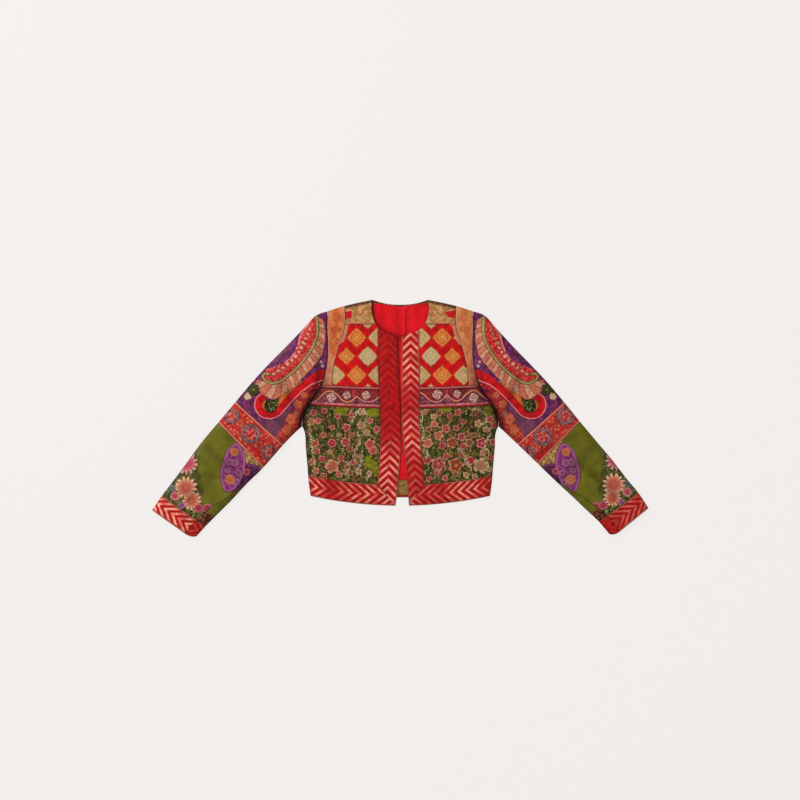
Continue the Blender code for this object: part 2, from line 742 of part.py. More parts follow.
def across_both(half):
    """A line right across the jacket from its outward half, whose first point is in the middle."""
    return join(mirrored(half)[::-1], half)


def middle(row):
    """The point of a level seam in the middle of the jacket."""
    return np.array([0.0, float(row(0.0))])


def build_back(front):
    """The back panel, its hem band, the lining inside it and the facing of its hem."""
    half = STEPS_BACK // 2
    outer = front.outer()
    hem_x = front.hem[-1, 0]
    hem_end = np.array([hem_x, float(back_hem_y(hem_x))])
    hem = across_both(level_line(back_hem_y, middle(back_hem_y), hem_end, half))
    band_top = across_both(level_line(back_band_y, middle(back_band_y), outer[0], half))
    band_side = straight_line(hem_end, outer[0], STEPS_HEM_BAND)
    band = patch(hem, band_top, mirrored(band_side), band_side)
    flat_wall("back_hem_band", band, 0.0, BACK_WALL, "chevron_braid")

    neck_start, neck_end = np.array(BACK_NECK[0]), np.array(BACK_NECK[-1])
    neck = curve_part(BACK_NECK, neck_start, neck_end, STEPS_BACK_NECK)
    shoulder = curve_part(SHOULDER, neck_end, np.array(SHOULDER[-1]), half - STEPS_BACK_NECK)
    back = patch(band_top, across_both(join(neck, shoulder)), mirrored(outer), outer)
    flat_wall("back_panel", back, 0.0, BACK_WALL, "green_brocade")

    half = STEPS_LINING // 2
    low = BACK_WALL + LAYER_GAP
    low_x = hem_x - LINING_INSET_SIDE
    high_x = float(outer_x(facing_high_y(low_x))) - LINING_INSET_SIDE
    low_end = np.array([low_x, float(facing_low_y(low_x))])
    high_end = np.array([high_x, float(facing_high_y(high_x))])
    facing_foot = across_both(level_line(facing_low_y, middle(facing_low_y), low_end, half))
    facing_top = across_both(level_line(facing_high_y, middle(facing_high_y), high_end, half))
    facing_side = straight_line(low_end, high_end, STEPS_FACING_SIDE)
    facing = patch(facing_foot, facing_top, mirrored(facing_side), facing_side)
    flat_wall("back_hem_facing", facing, low, LINING_WALL, "facing_cloth")

    inset = outer[(outer[:, 1] > high_end[1] + LINING_INSET_SIDE)][:-1] - (LINING_INSET_SIDE, 0)
    side = np.vstack([high_end, inset])
    neck = curve_part(BACK_NECK, neck_start, np.array(BACK_NECK[-2]), STEPS_LINING_NECK)
    neck = neck - (0, LINING_INSET_NECK)
    neck_side = neck[-1] + (LINING_INSET_SIDE, -LINING_INSET_SIDE / 2)
    over = straight_line(neck_side, side[-1], half - STEPS_LINING_NECK - 1)
    top = across_both(join(neck, np.vstack([neck[-1], over])))
    lining = patch(facing_top, top, mirrored(side), side)
    flat_wall("back_lining", lining, low, LINING_WALL, "red_lining")


def main():
    clear_scene()
    for side, sign in (("right", -1), ("left", 1)):
        front = Front(side)
        build_front(front, sign)
        build_sleeve(Sleeve(side, front.armhole()), sign)
    build_back(front)


main()
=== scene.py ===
"""A cropped patchwork brocade jacket, laid flat: its cloths, seams, floor, light and camera.

Lengths are metres. A front or a sleeve is worked out in outward x, which grows away from the middle
of the jacket, and a sign puts it on its side: the wearer's right lies at -X. Motif tables are in
millimetres, on the cloth as it lies.
"""

from __future__ import annotations

import logging
from dataclasses import dataclass, field
from enum import Enum
from functools import partial
from typing import Callable
import bpy
import numpy as np
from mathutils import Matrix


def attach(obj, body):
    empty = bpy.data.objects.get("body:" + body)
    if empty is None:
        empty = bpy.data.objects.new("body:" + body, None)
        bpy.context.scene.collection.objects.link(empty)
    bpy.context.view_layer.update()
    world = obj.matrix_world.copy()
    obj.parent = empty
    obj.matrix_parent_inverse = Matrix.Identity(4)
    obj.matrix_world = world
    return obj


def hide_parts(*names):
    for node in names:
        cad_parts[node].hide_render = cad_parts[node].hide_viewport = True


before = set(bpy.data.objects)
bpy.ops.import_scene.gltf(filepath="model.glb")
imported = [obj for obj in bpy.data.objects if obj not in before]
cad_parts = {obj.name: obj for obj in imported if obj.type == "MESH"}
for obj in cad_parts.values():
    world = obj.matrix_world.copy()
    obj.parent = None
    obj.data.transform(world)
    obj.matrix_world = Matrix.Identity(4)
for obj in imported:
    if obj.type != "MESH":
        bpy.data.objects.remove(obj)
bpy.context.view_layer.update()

LOG = logging.getLogger("jacket")
Table = tuple[tuple[float, ...], ...]
Array = np.ndarray
Row = tuple[float, float]
Socket = bpy.types.NodeSocket
Material = bpy.types.Material
Colour = Socket | str | tuple

MM = 0.001
STEP = 0.0026
HALF_GAP = 0.0002
BRAID_PITCH = 0.0200
EDGE_STEPS = (0.0006, 0.0014, 0.0026)
ROLL_SHARE = 0.45
ROLL_REACH = 0.0011
SHARP_DEGREES = 50
TINY = 1e-12


class Side(Enum):
    """The wearer's sides of the jacket."""

    RIGHT = "right"
    LEFT = "left"

    @property
    def sign(self) -> int:
        """-1 on the right side, which lies at -X."""
        return -1 if self is Side.RIGHT else 1


# Curves and grids


def column(table: Table, index: int) -> Array:
    """One column of a table as an array."""
    return np.array([row[index] for row in table], dtype=float)


def smooth(table: Table, at: int, value: int, where: Array | float) -> Array:
    """Reads a table with a cubic through its rows.

    Args:
        table: the rows.
        at: the column that is looked up.
        value: the column that is read.
        where: the places, in the units of column `at`.
    Returns:
        The value at each place: a Hermite cubic whose slopes are the rows' central differences.
    """
    x, y = column(table, at), column(table, value)
    order = np.argsort(x)
    x, y = x[order], y[order]
    slope = np.gradient(y, x)
    where = np.clip(np.asarray(where, dtype=float), x[0], x[-1])
    k = np.clip(np.searchsorted(x, where) - 1, 0, len(x) - 2)
    step = x[k + 1] - x[k]
    t = (where - x[k]) / step
    start = (1 + 2 * t) * (1 - t) ** 2 * y[k] + t * (1 - t) ** 2 * step * slope[k]
    end = t * t * (3 - 2 * t) * y[k + 1] + t * t * (t - 1) * step * slope[k + 1]
    return start + end


def run(line: Array) -> Array:
    """How far along a line each of its points lies, in metres."""
    return np.concatenate([[0], np.cumsum(np.linalg.norm(np.diff(line, axis=0), axis=1))])


def at_share(line: Array, share: Array) -> Array:
    """The points at shares 0 to 1 of a line's length."""
    length = run(line)
    return np.column_stack([np.interp(share, length / length[-1], line[:, k]) for k in range(line.shape[1])])


def through(table: Table, count: int = 160) -> Array:
    """A smooth open curve through a table's rows of x and y, with `count` points at even lengths."""
    knots = np.column_stack([column(table, 0), column(table, 1)])
    rows = tuple((a, x, y) for a, (x, y) in zip(run(knots), knots))
    fine = np.linspace(0, rows[-1][0], 4 * count)
    dense = np.column_stack([smooth(rows, 0, 1, fine), smooth(rows, 0, 2, fine)])
    return at_share(dense, np.linspace(0, 1, count))


def between(line: Array, start: Array, end: Array) -> Array:
    """The part of a line between its points nearest `start` and `end`."""
    first = np.argmin(np.linalg.norm(line - start, axis=1))
    last = np.argmin(np.linalg.norm(line - end, axis=1))
    part = line[first : last + 1].copy()
    part[0], part[-1] = start, end
    return part


def join(*parts: Array) -> Array:
    """Lines end to end, with each shared point once."""
    return np.vstack([parts[0]] + [part[1:] for part in parts[1:]])


def spread(length: float) -> Array:
    """Shares of a length at even steps, with closer ones near both of its ends for the turned edge."""
    inner = np.linspace(EDGE_STEPS[-1], length - EDGE_STEPS[-1], max(int(length / STEP), 2))
    start = np.array((0.0,) + EDGE_STEPS[:-1])
    return np.concatenate([start, inner, length - start[::-1]]) / length


def coons(south: Array, north: Array, west: Array, east: Array) -> Array:
    """A Coons patch: the points that fill four seams.

    Opposite seams are blended across the patch, the two blends are added, and the bilinear patch of
    the four corners is taken away once.
    """
    u_share = spread((run(south)[-1] + run(north)[-1]) / 2)
    v_share = spread((run(west)[-1] + run(east)[-1]) / 2)
    low, high = at_share(south, u_share), at_share(north, u_share)
    left, right = at_share(west, v_share), at_share(east, v_share)
    u, v = u_share[None, :, None], v_share[:, None, None]
    across = (1 - v) * low[None] + v * high[None]
    along = (1 - u) * left[:, None] + u * right[:, None]
    corners = (1 - v) * ((1 - u) * low[0] + u * low[-1]) + v * ((1 - u) * high[0] + u * high[-1])
    return across + along - corners


def draw_in(grid: Array, gap: float) -> Array:
    """Moves the points on a grid's four sides inwards by a gap."""
    grid = grid.copy()
    for lines in (grid, grid.transpose(1, 0, 2)):
        for edge, inner in ((0, 1), (-1, -2)):
            step = lines[inner] - lines[edge]
            lines[edge] += gap * step / np.maximum(np.linalg.norm(step, axis=1, keepdims=True), 1e-9)
    return grid


def grid_runs(grid: Array, axis: int) -> Array:
    """How far each point of a grid lies from its first row, with axis 0, or its first column, with 1."""
    step = np.linalg.norm(np.diff(grid, axis=axis), axis=2)
    return np.pad(np.cumsum(step, axis), [(1, 0), (0, 0)] if axis == 0 else [(0, 0), (1, 0)])


def border_runs(grid: Array) -> tuple[Array, Array]:
    """How far each point of a grid lies from its two end rows, and from its two end columns."""
    down, across = grid_runs(grid, 0), grid_runs(grid, 1)
    return np.minimum(down, down[-1:] - down), np.minimum(across, across[:, -1:] - across)


def ease(t: Array) -> Array:
    """A soft step from 0 to 1: 3t² - 2t³."""
    t = np.clip(t, 0, 1)
    return t * t * (3 - 2 * t)


def rise(distance: Array, reach: float) -> Array:
    """From 0 at an edge towards 1 away from it: 1 - exp(-distance / reach)."""
    return 1 - np.exp(-np.maximum(distance, 0) / reach)


# Motif fields, worked out at the cloth's points


def near_curve(flat: Array, line: Array) -> tuple[Array, Array]:
    """Signed distance from a curve, above 0 on its left, and how far along it the nearest point is."""
    shape = flat.shape[:2]
    points = flat.reshape(-1, 1, 2)
    start, step = line[:-1], np.diff(line, axis=0)
    length2 = np.maximum((step**2).sum(1), TINY)
    offset = points - start
    t = np.clip((offset * step).sum(2) / length2, 0, 1)
    gap = offset - t[..., None] * step
    distance = np.linalg.norm(gap, axis=2)
    k = distance.argmin(1)
    n = np.arange(len(k))
    side = np.sign(step[k, 0] * offset[n, k, 1] - step[k, 1] * offset[n, k, 0])
    along = run(line)[:-1][k] + t[n, k] * np.sqrt(length2[k])
    return (distance[n, k] * side).reshape(shape), along.reshape(shape)


def inside_ring(flat: Array, ring: Array) -> Array:
    """Signed distance from a closed outline, above 0 inside it, by counting its crossings."""
    closed = np.vstack([ring, ring[:1]])
    distance = np.abs(near_curve(flat, closed)[0])
    x, y = flat[..., 0, None], flat[..., 1, None]
    x0, y0, x1, y1 = closed[:-1, 0], closed[:-1, 1], closed[1:, 0], closed[1:, 1]
    rise_y = np.where(y1 == y0, TINY, y1 - y0)
    crossed = ((y0 > y) != (y1 > y)) & (x < (x1 - x0) * (y - y0) / rise_y + x0)
    return np.where(crossed.sum(-1) % 2 == 1, distance, -distance)


def blooms(flat: Array, table: Table, tones: int) -> Array:
    """Each point's place in the nearest blossom of a table.

    Args:
        flat: the cloth's points.
        table: rows of x, y and radius in millimetres, and the blossom's tone from 0.
        tones: how many tones there are.
    Returns:
        x and y from the blossom's centre over its radius, and the tone as a share.
    """
    centre = np.column_stack([column(table, 0), column(table, 1)]) * MM
    radius = column(table, 2) * MM
    place = (flat[:, :, None, :] - centre) / radius[:, None]
    nearest = np.linalg.norm(place, axis=3).argmin(2)
    picked = np.take_along_axis(place, nearest[..., None, None], axis=2)[:, :, 0]
    tone = (column(table, 3)[nearest] + 0.5) / tones
    return np.concatenate([picked, tone[..., None]], axis=2)


def soft_spots(flat: Array, table: Table) -> Array:
    """A field that is 1 at each row's x and y and fades over its two radii, all in millimetres."""
    total = np.zeros(flat.shape[:2])
    for x, y, wide, high in table:
        across, up = (flat[..., 0] - x * MM) / (wide * MM), (flat[..., 1] - y * MM) / (high * MM)
        total += np.exp(-(across**2) - up**2)
    return np.clip(total, 0, 1)


# Meshes


@dataclass
class Wall:
    """A cloth wall: its name, its two grids of points, their place on the flat cloth, and its fields."""

    name: str
    outer: Array
    inner: Array
    flat: Array
    fields: dict[str, Array] = field(default_factory=dict)

    def bloom(self, table: Table, tones: int) -> None:
        """Adds the fields of a table of blossoms.

        The radius is kept beside the place, because it stays smooth where the nearest blossom changes.
        """
        place = blooms(self.flat, table, tones)
        self.fields["bloom"] = place
        self.fields["bloom_radius"] = np.linalg.norm(place[..., :2], axis=2)

    def cut_size(self) -> tuple[float, float, float]:
        """The greatest width and length of the cut, and its area."""
        mid = (self.outer + self.inner) / 2
        wide = np.linalg.norm(np.diff(mid, axis=1), axis=2).sum(1).max()
        long = np.linalg.norm(np.diff(mid, axis=0), axis=2).sum(0).max()
        across, up = mid[:-1, 1:] - mid[:-1, :-1], mid[1:, :-1] - mid[:-1, :-1]
        back, down = mid[1:, :-1] - mid[1:, 1:], mid[:-1, 1:] - mid[1:, 1:]
        area = np.linalg.norm(np.cross(across, up), axis=2).sum() / 2
        area += np.linalg.norm(np.cross(back, down), axis=2).sum() / 2
        return float(wide), float(long), float(min(area, wide * long))

    def build(self, sign: int) -> bpy.types.Object:
        """Closes the two grids and their rim into one mesh, with its UV map and fields.

        Args:
            sign: -1 puts the wall on the right side, and turns its faces so that they look outwards.
        Returns:
            The object, at the origin.
        """
        rows, columns = self.outer.shape[:2]
        count = rows * columns
        points = np.concatenate([self.outer.reshape(-1, 3), self.inner.reshape(-1, 3)]) * (sign, 1, 1)
        index = np.arange(count).reshape(rows, columns)
        quads = np.stack([index[:-1, :-1], index[:-1, 1:], index[1:, 1:], index[1:, :-1]], -1).reshape(-1, 4)
        rim = np.concatenate([index[0, :], index[1:, -1], index[-1, -2::-1], index[-2:0:-1, 0]])
        after = np.roll(rim, -1)
        sides = np.stack([after, rim, rim + count, after + count], -1)
        faces = np.concatenate([quads, quads[:, ::-1] + count, sides])[:, ::sign]
        mesh = bpy.data.meshes.new(self.name)
        mesh.vertices.add(2 * count)
        mesh.vertices.foreach_set("co", points.astype(np.float32).ravel())
        mesh.loops.add(faces.size)
        mesh.loops.foreach_set("vertex_index", faces.astype(np.int32).ravel())
        mesh.polygons.add(len(faces))
        mesh.polygons.foreach_set("loop_start", np.arange(0, faces.size, 4, dtype=np.int32))
        mesh.update(calc_edges=True)
        mesh.validate()
        flat = np.concatenate([self.flat.reshape(-1, 2)] * 2)
        loops = np.empty(len(mesh.loops), dtype=np.int32)
        mesh.loops.foreach_get("vertex_index", loops)
        mesh.uv_layers.new(name="cloth").data.foreach_set("uv", flat[loops].astype(np.float32).ravel())
        self.fields.setdefault("shade", np.zeros((rows, columns)))
        for name, values in self.fields.items():
            kind = "FLOAT_VECTOR" if values.ndim == 3 else "FLOAT"
            stored = mesh.attributes.new(name, kind, "POINT")
            twice = np.concatenate([values.reshape(count, -1)] * 2).astype(np.float32)
            stored.data.foreach_set("vector" if values.ndim == 3 else "value", twice.ravel())
        mesh.shade_smooth()
        mesh.set_sharp_from_angle(angle=np.radians(SHARP_DEGREES))
        piece = bpy.data.objects.new(self.name, mesh)
        bpy.context.scene.collection.objects.link(piece)
        return piece


# Shader maths


class Val:
    """A number that a shader works out: arithmetic on it adds Math nodes."""

    def __init__(self, paint: Paint, socket: Socket) -> None:
        """Wraps a socket of a paint's node tree."""
        self.paint = paint
        self.socket = socket

    def do(self, operation: str, *others: Val | float) -> Val:
        """One Math node on this value and others."""
        return self.paint.maths(operation, self, *others)

    def __add__(self, other: Val | float) -> Val:
        """Sum."""
        return self.do("ADD", other)

    def __sub__(self, other: Val | float) -> Val:
        """Difference."""
        return self.do("SUBTRACT", other)

    def __mul__(self, other: Val | float) -> Val:
        """Product."""
        return self.do("MULTIPLY", other)

    def __truediv__(self, other: Val | float) -> Val:
        """Quotient."""
        return self.do("DIVIDE", other)

    def __rsub__(self, other: float) -> Val:
        """A number less this value."""
        return self.paint.maths("SUBTRACT", other, self)

    __radd__ = __add__
    __rmul__ = __mul__

    def __abs__(self) -> Val:
        """Size without its sign."""
        return self.do("ABSOLUTE")

    def sin(self) -> Val:
        """Sine."""
        return self.do("SINE")

    def cos(self) -> Val:
        """Cosine."""
        return self.do("COSINE")

    def fract(self) -> Val:
        """The part after the point."""
        return self.do("FRACT")

    def low(self, other: Val | float) -> Val:
        """The smaller of two."""
        return self.do("MINIMUM", other)

    def high(self, other: Val | float) -> Val:
        """The greater of two."""
        return self.do("MAXIMUM", other)

    def step(self, start: float, end: float) -> Val:
        """A soft step from 0 at `start` to 1 at `end`."""
        sockets = {"Value": self, "From Min": start, "From Max": end}
        made = self.paint.node("ShaderNodeMapRange", {"interpolation_type": "SMOOTHSTEP"}, sockets)
        return Val(self.paint, made.outputs[0])

    def line(self, middle: float, half: float, soft: float) -> Val:
        """1 within `half` of `middle`, with soft sides."""
        return 1 - abs(self - middle).step(half - soft, half + soft)

    def cell(self) -> Val:
        """From -0.5 to 0.5 across each whole step, and 0 at its middle."""
        return self.fract() - 0.5


def length_of(x: Val, y: Val) -> Val:
    """How far x and y lie from 0."""
    return (x * x + y * y).do("SQRT")


def tint(code: str) -> tuple[float, float, float, float]:
    """A colour written as six hex digits, as linear red, green, blue and full alpha."""
    shown = np.array([int(code[k : k + 2], 16) for k in (0, 2, 4)]) / 255
    linear = np.where(shown <= 0.04045, shown / 12.92, ((shown + 0.055) / 1.055) ** 2.4)
    return (*linear.tolist(), 1.0)


@dataclass(frozen=True)
class Blossom:
    """How a cloth's placed blossoms look: petals, and colours for each tone."""

    petals: int
    outer: tuple[str, ...]
    middle: tuple[str, ...]
    heart: tuple[str, ...]
    depth: float = 0.28
    ring: float = 0.46
    twist: float = 0.0
    rough: float = 0.30
    mottle: float = 0.45
    eye: float = 0.9
    rim: float = 0.0


class Paper:
    """A material's node tree, and short ways to add nodes to it."""

    def __init__(self, name: str) -> None:
        """Starts a material with a Principled shader."""
        self.material = bpy.data.materials.new(name)
        self.material.use_nodes = True
        self.tree = self.material.node_tree
        self.shader = self.tree.nodes["Principled BSDF"]

    def node(self, kind: str, settings: dict, sockets: dict) -> bpy.types.Node:
        """Adds a node.

        Args:
            kind: its type.
            settings: its settings, where "stops" is a ramp's list of places and colours.
            sockets: a value, Val, colour or socket for each named or numbered input.
        Returns:
            The node.
        """
        made = self.tree.nodes.new(kind)
        for name, value in settings.items():
            if name == "stops":
                ramp = made.color_ramp
                while len(ramp.elements) < len(value):
                    ramp.elements.new(0.5)
                for element, (place, code) in zip(ramp.elements, value):
                    element.position = place
                for element, (place, code) in zip(ramp.elements, value):
                    element.color = tint(code)
            elif name == "interpolation":
                made.color_ramp.interpolation = value
            else:
                setattr(made, name, value)
        for name, value in sockets.items():
            if isinstance(value, Val):
                value = value.socket
            if isinstance(value, Socket):
                self.tree.links.new(value, made.inputs[name])
            else:
                made.inputs[name].default_value = tint(value) if isinstance(value, str) else value
        return made

    def maths(self, operation: str, *values: Val | float) -> Val:
        """One Math node."""
        made = self.node("ShaderNodeMath", {"operation": operation}, dict(enumerate(values)))
        return Val(self, made.outputs[0])

    def split(self, vector: Socket) -> tuple[Val, Val, Val]:
        """The three numbers of a vector."""
        made = self.node("ShaderNodeSeparateXYZ", {}, {0: vector})
        return tuple(Val(self, out) for out in made.outputs)

    def mix(self, share: Val | float, first: Colour, second: Colour) -> Socket:
        """The first colour where the share is 0, and the second where it is 1."""
        made = self.node("ShaderNodeMix", {"data_type": "RGBA"}, {0: share, 6: first, 7: second})
        return made.outputs[2]

    def times(self, share: Val | float, colour: Colour, by: tuple[float, float, float]) -> Socket:
        """A colour whose red, green and blue are multiplied where the share is 1."""
        settings = {"data_type": "RGBA", "blend_type": "MULTIPLY"}
        return self.node("ShaderNodeMix", settings, {0: share, 6: colour, 7: (*by, 1.0)}).outputs[2]

    def shade(self, share: Val | float, colour: Colour, by: float) -> Socket:
        """A colour that is `by` times as bright where the share is 1."""
        return self.times(share, colour, (by, by, by))

    def ramp(self, value: Val, codes: tuple[str, ...], steps: bool = True) -> Socket:
        """One of several colours: each holds for an equal share of 0 to 1, or runs into the next."""
        count = len(codes)
        stops = [((k / count) if steps else k / (count - 1), code) for k, code in enumerate(codes)]
        settings = {"stops": stops, "interpolation": "CONSTANT" if steps else "LINEAR"}
        return self.node("ShaderNodeValToRGB", settings, {0: value}).outputs[0]


@dataclass(frozen=True)
class Weave:
    """What every cloth shares: its threads, stitches, wear and sheen, and the strength and tint of its
    painted shade.
    """

    wobble: float = 0.0050
    warp: float = 0.0011
    weft: float = 0.0009
    rib_height: float = 0.00002
    slub_height: float = 0.00006
    stitch_pitch: float = 0.0028
    stitch_inset: float = 0.0024
    stitch_half: float = 0.00030
    stitch_soft: float = 0.00015
    stitch_depth: float = 0.00012
    stitch_shade: float = 0.60
    worn_shade: float = 0.82
    thread_shade: float = 0.80
    # Painted seam shade, which also stands for wear: how far and how strongly each border darkens
    edge_reach: float = 0.0018
    edge_shade_and_wear: float = 0.50
    # The tint of painted shade where the shade field is 1
    dark: tuple[float, float, float] = (0.16, 0.10, 0.08)
    warmth: tuple[float, float, float] = (1.22, 1.0, 0.90)
    rough_spread: float = 0.16
    sheen: float = 0.35
    sheen_rough: float = 0.4
    specular: float = 0.12


WEAVE = Weave()


class Paint(Paper):
    """The material of a cloth."""

    def __init__(self, name: str) -> None:
        """Starts it with the place on the flat cloth, wobbled by noise, and the sum of its two directions."""
        super().__init__(name)
        cloth = self.node("ShaderNodeUVMap", {"uv_map": "cloth"}, {})
        self.uv = cloth.outputs[0]
        u, v, _ = self.split(self.uv)
        self.wobble = (self.noise((130, 150), 3.0) - 0.5, self.noise((160, 120), 3.0) - 0.5)
        self.u = u + self.wobble[0] * WEAVE.wobble
        self.v = v + self.wobble[1] * WEAVE.wobble
        self.seamwise = u + v

    def field(self, name: str) -> Val:
        """A number that the mesh holds at its points."""
        return Val(self, self.node("ShaderNodeAttribute", {"attribute_name": name}, {}).outputs["Fac"])

    def fields(self, name: str, woven: float = 0.0) -> tuple[Val, Val, Val]:
        """Three numbers that the mesh holds at its points, the first two roughened by the weave."""
        x, y, z = self.split(self.node("ShaderNodeAttribute", {"attribute_name": name}, {}).outputs["Vector"])
        if woven:
            x, y = x + self.wobble[0] * woven, y + self.wobble[1] * woven
        return x, y, z

    def scaled(self, scale: Row) -> Socket:
        """The cloth's place times a scale in each direction."""
        made = self.node("ShaderNodeVectorMath", {"operation": "MULTIPLY"}, {0: self.uv, 1: (*scale, 0.0)})
        return made.outputs[0]

    def noise(self, scale: Row, detail: float = 2.0) -> Val:
        """Soft noise from 0 to 1, with `scale` spots a metre in each direction."""
        sockets = {"Vector": self.scaled(scale), "Scale": 1.0, "Detail": detail}
        made = self.node("ShaderNodeTexNoise", {"noise_dimensions": "2D"}, sockets)
        return Val(self, made.outputs[0])

    def mottle(self, scale: Row, detail: float, reach: Row, first: str, second: str) -> Socket:
        """Two colours in patches: the second where the noise is past the reach."""
        return self.mix(self.noise(scale, detail).step(*reach), first, second)

    def cells(self, scale: Row) -> tuple[Val, Val]:
        """Scattered cells: the distance from the nearest one's middle, and its chance number."""
        sockets = {"Vector": self.scaled(scale), "Scale": 1.0}
        made = self.node("ShaderNodeTexVoronoi", {"voronoi_dimensions": "2D"}, sockets)
        chance = self.split(made.outputs["Color"])[0]
        return Val(self, made.outputs["Distance"]), chance

    def blossom(self, ground: Colour, look: Blossom) -> Socket:
        """Draws the mesh's placed blossoms on a ground: a dark outline, petals, a ring and a heart.

        Args:
            ground: the colour behind them.
            look: their petals and each tone's colours.
        Returns:
            The colour.
        """
        x, y, tone = self.fields("bloom", look.rough)
        radius = self.field("bloom_radius") + self.wobble[0] * look.rough
        turn = y.do("ARCTAN2", x) + radius * look.twist + self.wobble[1] * look.rough
        lobe = abs((turn * (look.petals / 2)).cos())
        rim = lobe * look.depth + (1 - look.depth)
        past = radius - rim
        colour = self.shade(past.step(0.26, 0.04), ground, 0.45)
        petal = self.mix(radius.step(0.40, 0.95), self.ramp(tone, look.middle), self.ramp(tone, look.outer))
        patch = self.noise((260, 260), 2.0)
        petal = self.mix(patch.step(0.38, 0.64) * look.mottle, petal, self.ramp(tone, look.middle))
        vein = (1 - lobe.step(0.0, 0.34)) * radius.step(0.26, 0.50)
        petal = self.mix(vein * 0.75, petal, self.shade(1.0, self.ramp(tone, look.middle), 0.55))
        petal = self.mix(past.line(-0.10, 0.10, 0.07) * patch.step(0.30, 0.56) * look.rim, petal, "D6B896")
        colour = self.mix(past.step(0.07, -0.07) * (patch.step(0.12, 0.34) * 0.4 + 0.6), colour, petal)
        colour = self.shade(radius.line(look.ring, 0.045, 0.035), colour, 0.62)
        inside = radius.step(look.ring, look.ring - 0.12)
        colour = self.mix(inside * 0.8, colour, self.ramp(tone, look.middle))
        heart = radius.step(look.ring * 0.62, look.ring * 0.30)
        return self.mix(heart * look.eye, colour, self.ramp(tone, look.heart))

    def weave(self) -> Val:
        """Height of the threads: two crossed ribs, and slubs along the weft."""
        ribs = (self.u * (2 * np.pi / WEAVE.warp)).sin() * (self.v * (2 * np.pi / WEAVE.weft)).sin()
        return ribs * WEAVE.rib_height + self.noise((260, 1500), 1.0) * WEAVE.slub_height

    def stitches(self, edge: Val) -> Val:
        """A row of stitches beside the edge: dashes by the sine of the place along the seam."""
        dash = (self.seamwise * (2 * np.pi / WEAVE.stitch_pitch)).sin().step(-0.3, 0.2)
        return edge.line(WEAVE.stitch_inset, WEAVE.stitch_half, WEAVE.stitch_soft) * dash

    def close(self, colour: Colour, rough: float, metal: Val | float, relief: Val, sheen: float) -> Material:
        """Finishes the material.

        Args:
            colour: the cloth's colour.
            rough: its roughness, which slubs vary a little.
            metal: the share of metal thread.
            relief: the height of its figures in metres, to which the weave is added.
            sheen: the nap's sheen.
        Returns:
            The material.
        """
        edge = self.field("edge")
        worn = self.noise((38, 38), 3.0)
        colour = self.shade(worn.step(0.35, 0.75), colour, WEAVE.worn_shade)
        thread = self.noise((900, 260), 1.0)
        colour = self.shade(thread.step(0.35, 0.70), colour, WEAVE.thread_shade)
        # Painted seam shade, which also stands for wear: every piece darkens within edge_reach of its border
        colour = self.shade(edge.step(WEAVE.edge_reach, 0.0), colour, WEAVE.edge_shade_and_wear)
        stitch = self.stitches(edge)
        colour = self.shade(stitch, colour, WEAVE.stitch_shade)
        # Painted shade: the shade field darkens the colour in creases and folds, along the armhole and side
        # seams, and beside the neck
        colour = self.times(self.field("shade"), colour, WEAVE.dark)
        colour = self.times(1.0, colour, WEAVE.warmth)
        height = relief - stitch * WEAVE.stitch_depth + self.weave()
        bump = self.node("ShaderNodeBump", {}, {"Strength": 1.0, "Distance": 1.0, "Height": height})
        links = self.tree.links
        links.new(colour, self.shader.inputs["Base Color"])
        links.new(bump.outputs[0], self.shader.inputs["Normal"])
        varied = self.noise((500, 120)) * WEAVE.rough_spread + (rough - WEAVE.rough_spread / 2)
        links.new(varied.socket, self.shader.inputs["Roughness"])
        if isinstance(metal, Val):
            links.new(metal.socket, self.shader.inputs["Metallic"])
        else:
            self.shader.inputs["Metallic"].default_value = metal
        self.shader.inputs["Sheen Weight"].default_value = sheen * WEAVE.sheen
        self.shader.inputs["Sheen Roughness"].default_value = WEAVE.sheen_rough
        self.shader.inputs["Specular IOR Level"].default_value = WEAVE.specular
        return self.material


# Finishes


@dataclass(frozen=True)
class ChevronBraid:
    """Red braid with metal-thread chevrons between two selvages."""

    name: str
    slope: float
    duty: float = 0.48
    dull: str = "D2564C"
    bright: str = "F79C82"
    selvage: float = 0.0038

    def dress(self) -> Material:
        """Chevrons: a saw of the place along the braid plus the slope times the place off its middle.

        The field counts the place along the braid in chevrons, with a light one's middle at 0; its last
        number is the painted reflection.
        """
        p = Paint(self.name)
        off, along, contrast = p.fields("band", 0.0022)
        along = along + p.wobble[0] * 0.10
        gap = abs((along + abs(off) * (self.slope / BRAID_PITCH) + 0.5).cell())
        light = gap.step(self.duty / 2 + 0.035, self.duty / 2 - 0.035)
        # Painted highlight: each chevron's middle is brighter in patches, where the metal thread catches
        # light
        glow = gap.step(self.duty / 2, self.duty / 6)
        under = gap.line(self.duty / 2 + 0.07, 0.05, 0.04)
        red = p.mottle((90, 60), 3.0, (0.3, 0.7), "C00C14", "9E060C")
        patch = p.noise((45, 45), 2.0)
        thread = p.mix(glow * patch.step(0.30, 0.60), self.dull, self.bright)
        # Painted reflection: the chevrons and selvage show as strongly as the metal thread shines, and fade
        # into a darker red where it is dull
        strength = contrast * (patch * 0.5 + 0.75)
        colour = p.mix(light * strength.low(1.0), red, thread)
        # Painted shadow: a dark line beside each chevron, stronger where the thread shines
        colour = p.shade(under * (contrast * 0.7 + 0.3), colour, 0.60)
        colour = p.mix(light * (1 - contrast) * 0.09, colour, "C02024")
        colour = p.shade((1 - contrast).high(0.0), colour, 0.88)
        long = p.field("long_edge") + p.wobble[1] * 0.0016
        rim = long.step(self.selvage, self.selvage - 0.0010)
        colour = p.mix(rim * (contrast * 0.85 + 0.05), colour, "BC745C")
        groove = long.line(self.selvage, 0.0007, 0.0004)
        colour = p.shade(groove, colour, 0.50)
        colour = p.shade(long.step(0.0016, 0.0006), colour, 0.60)
        relief = light * 0.00035 - groove * 0.0004
        return p.close(colour, 0.45, light * contrast * 0.25 + 0.03, relief, 0.08)


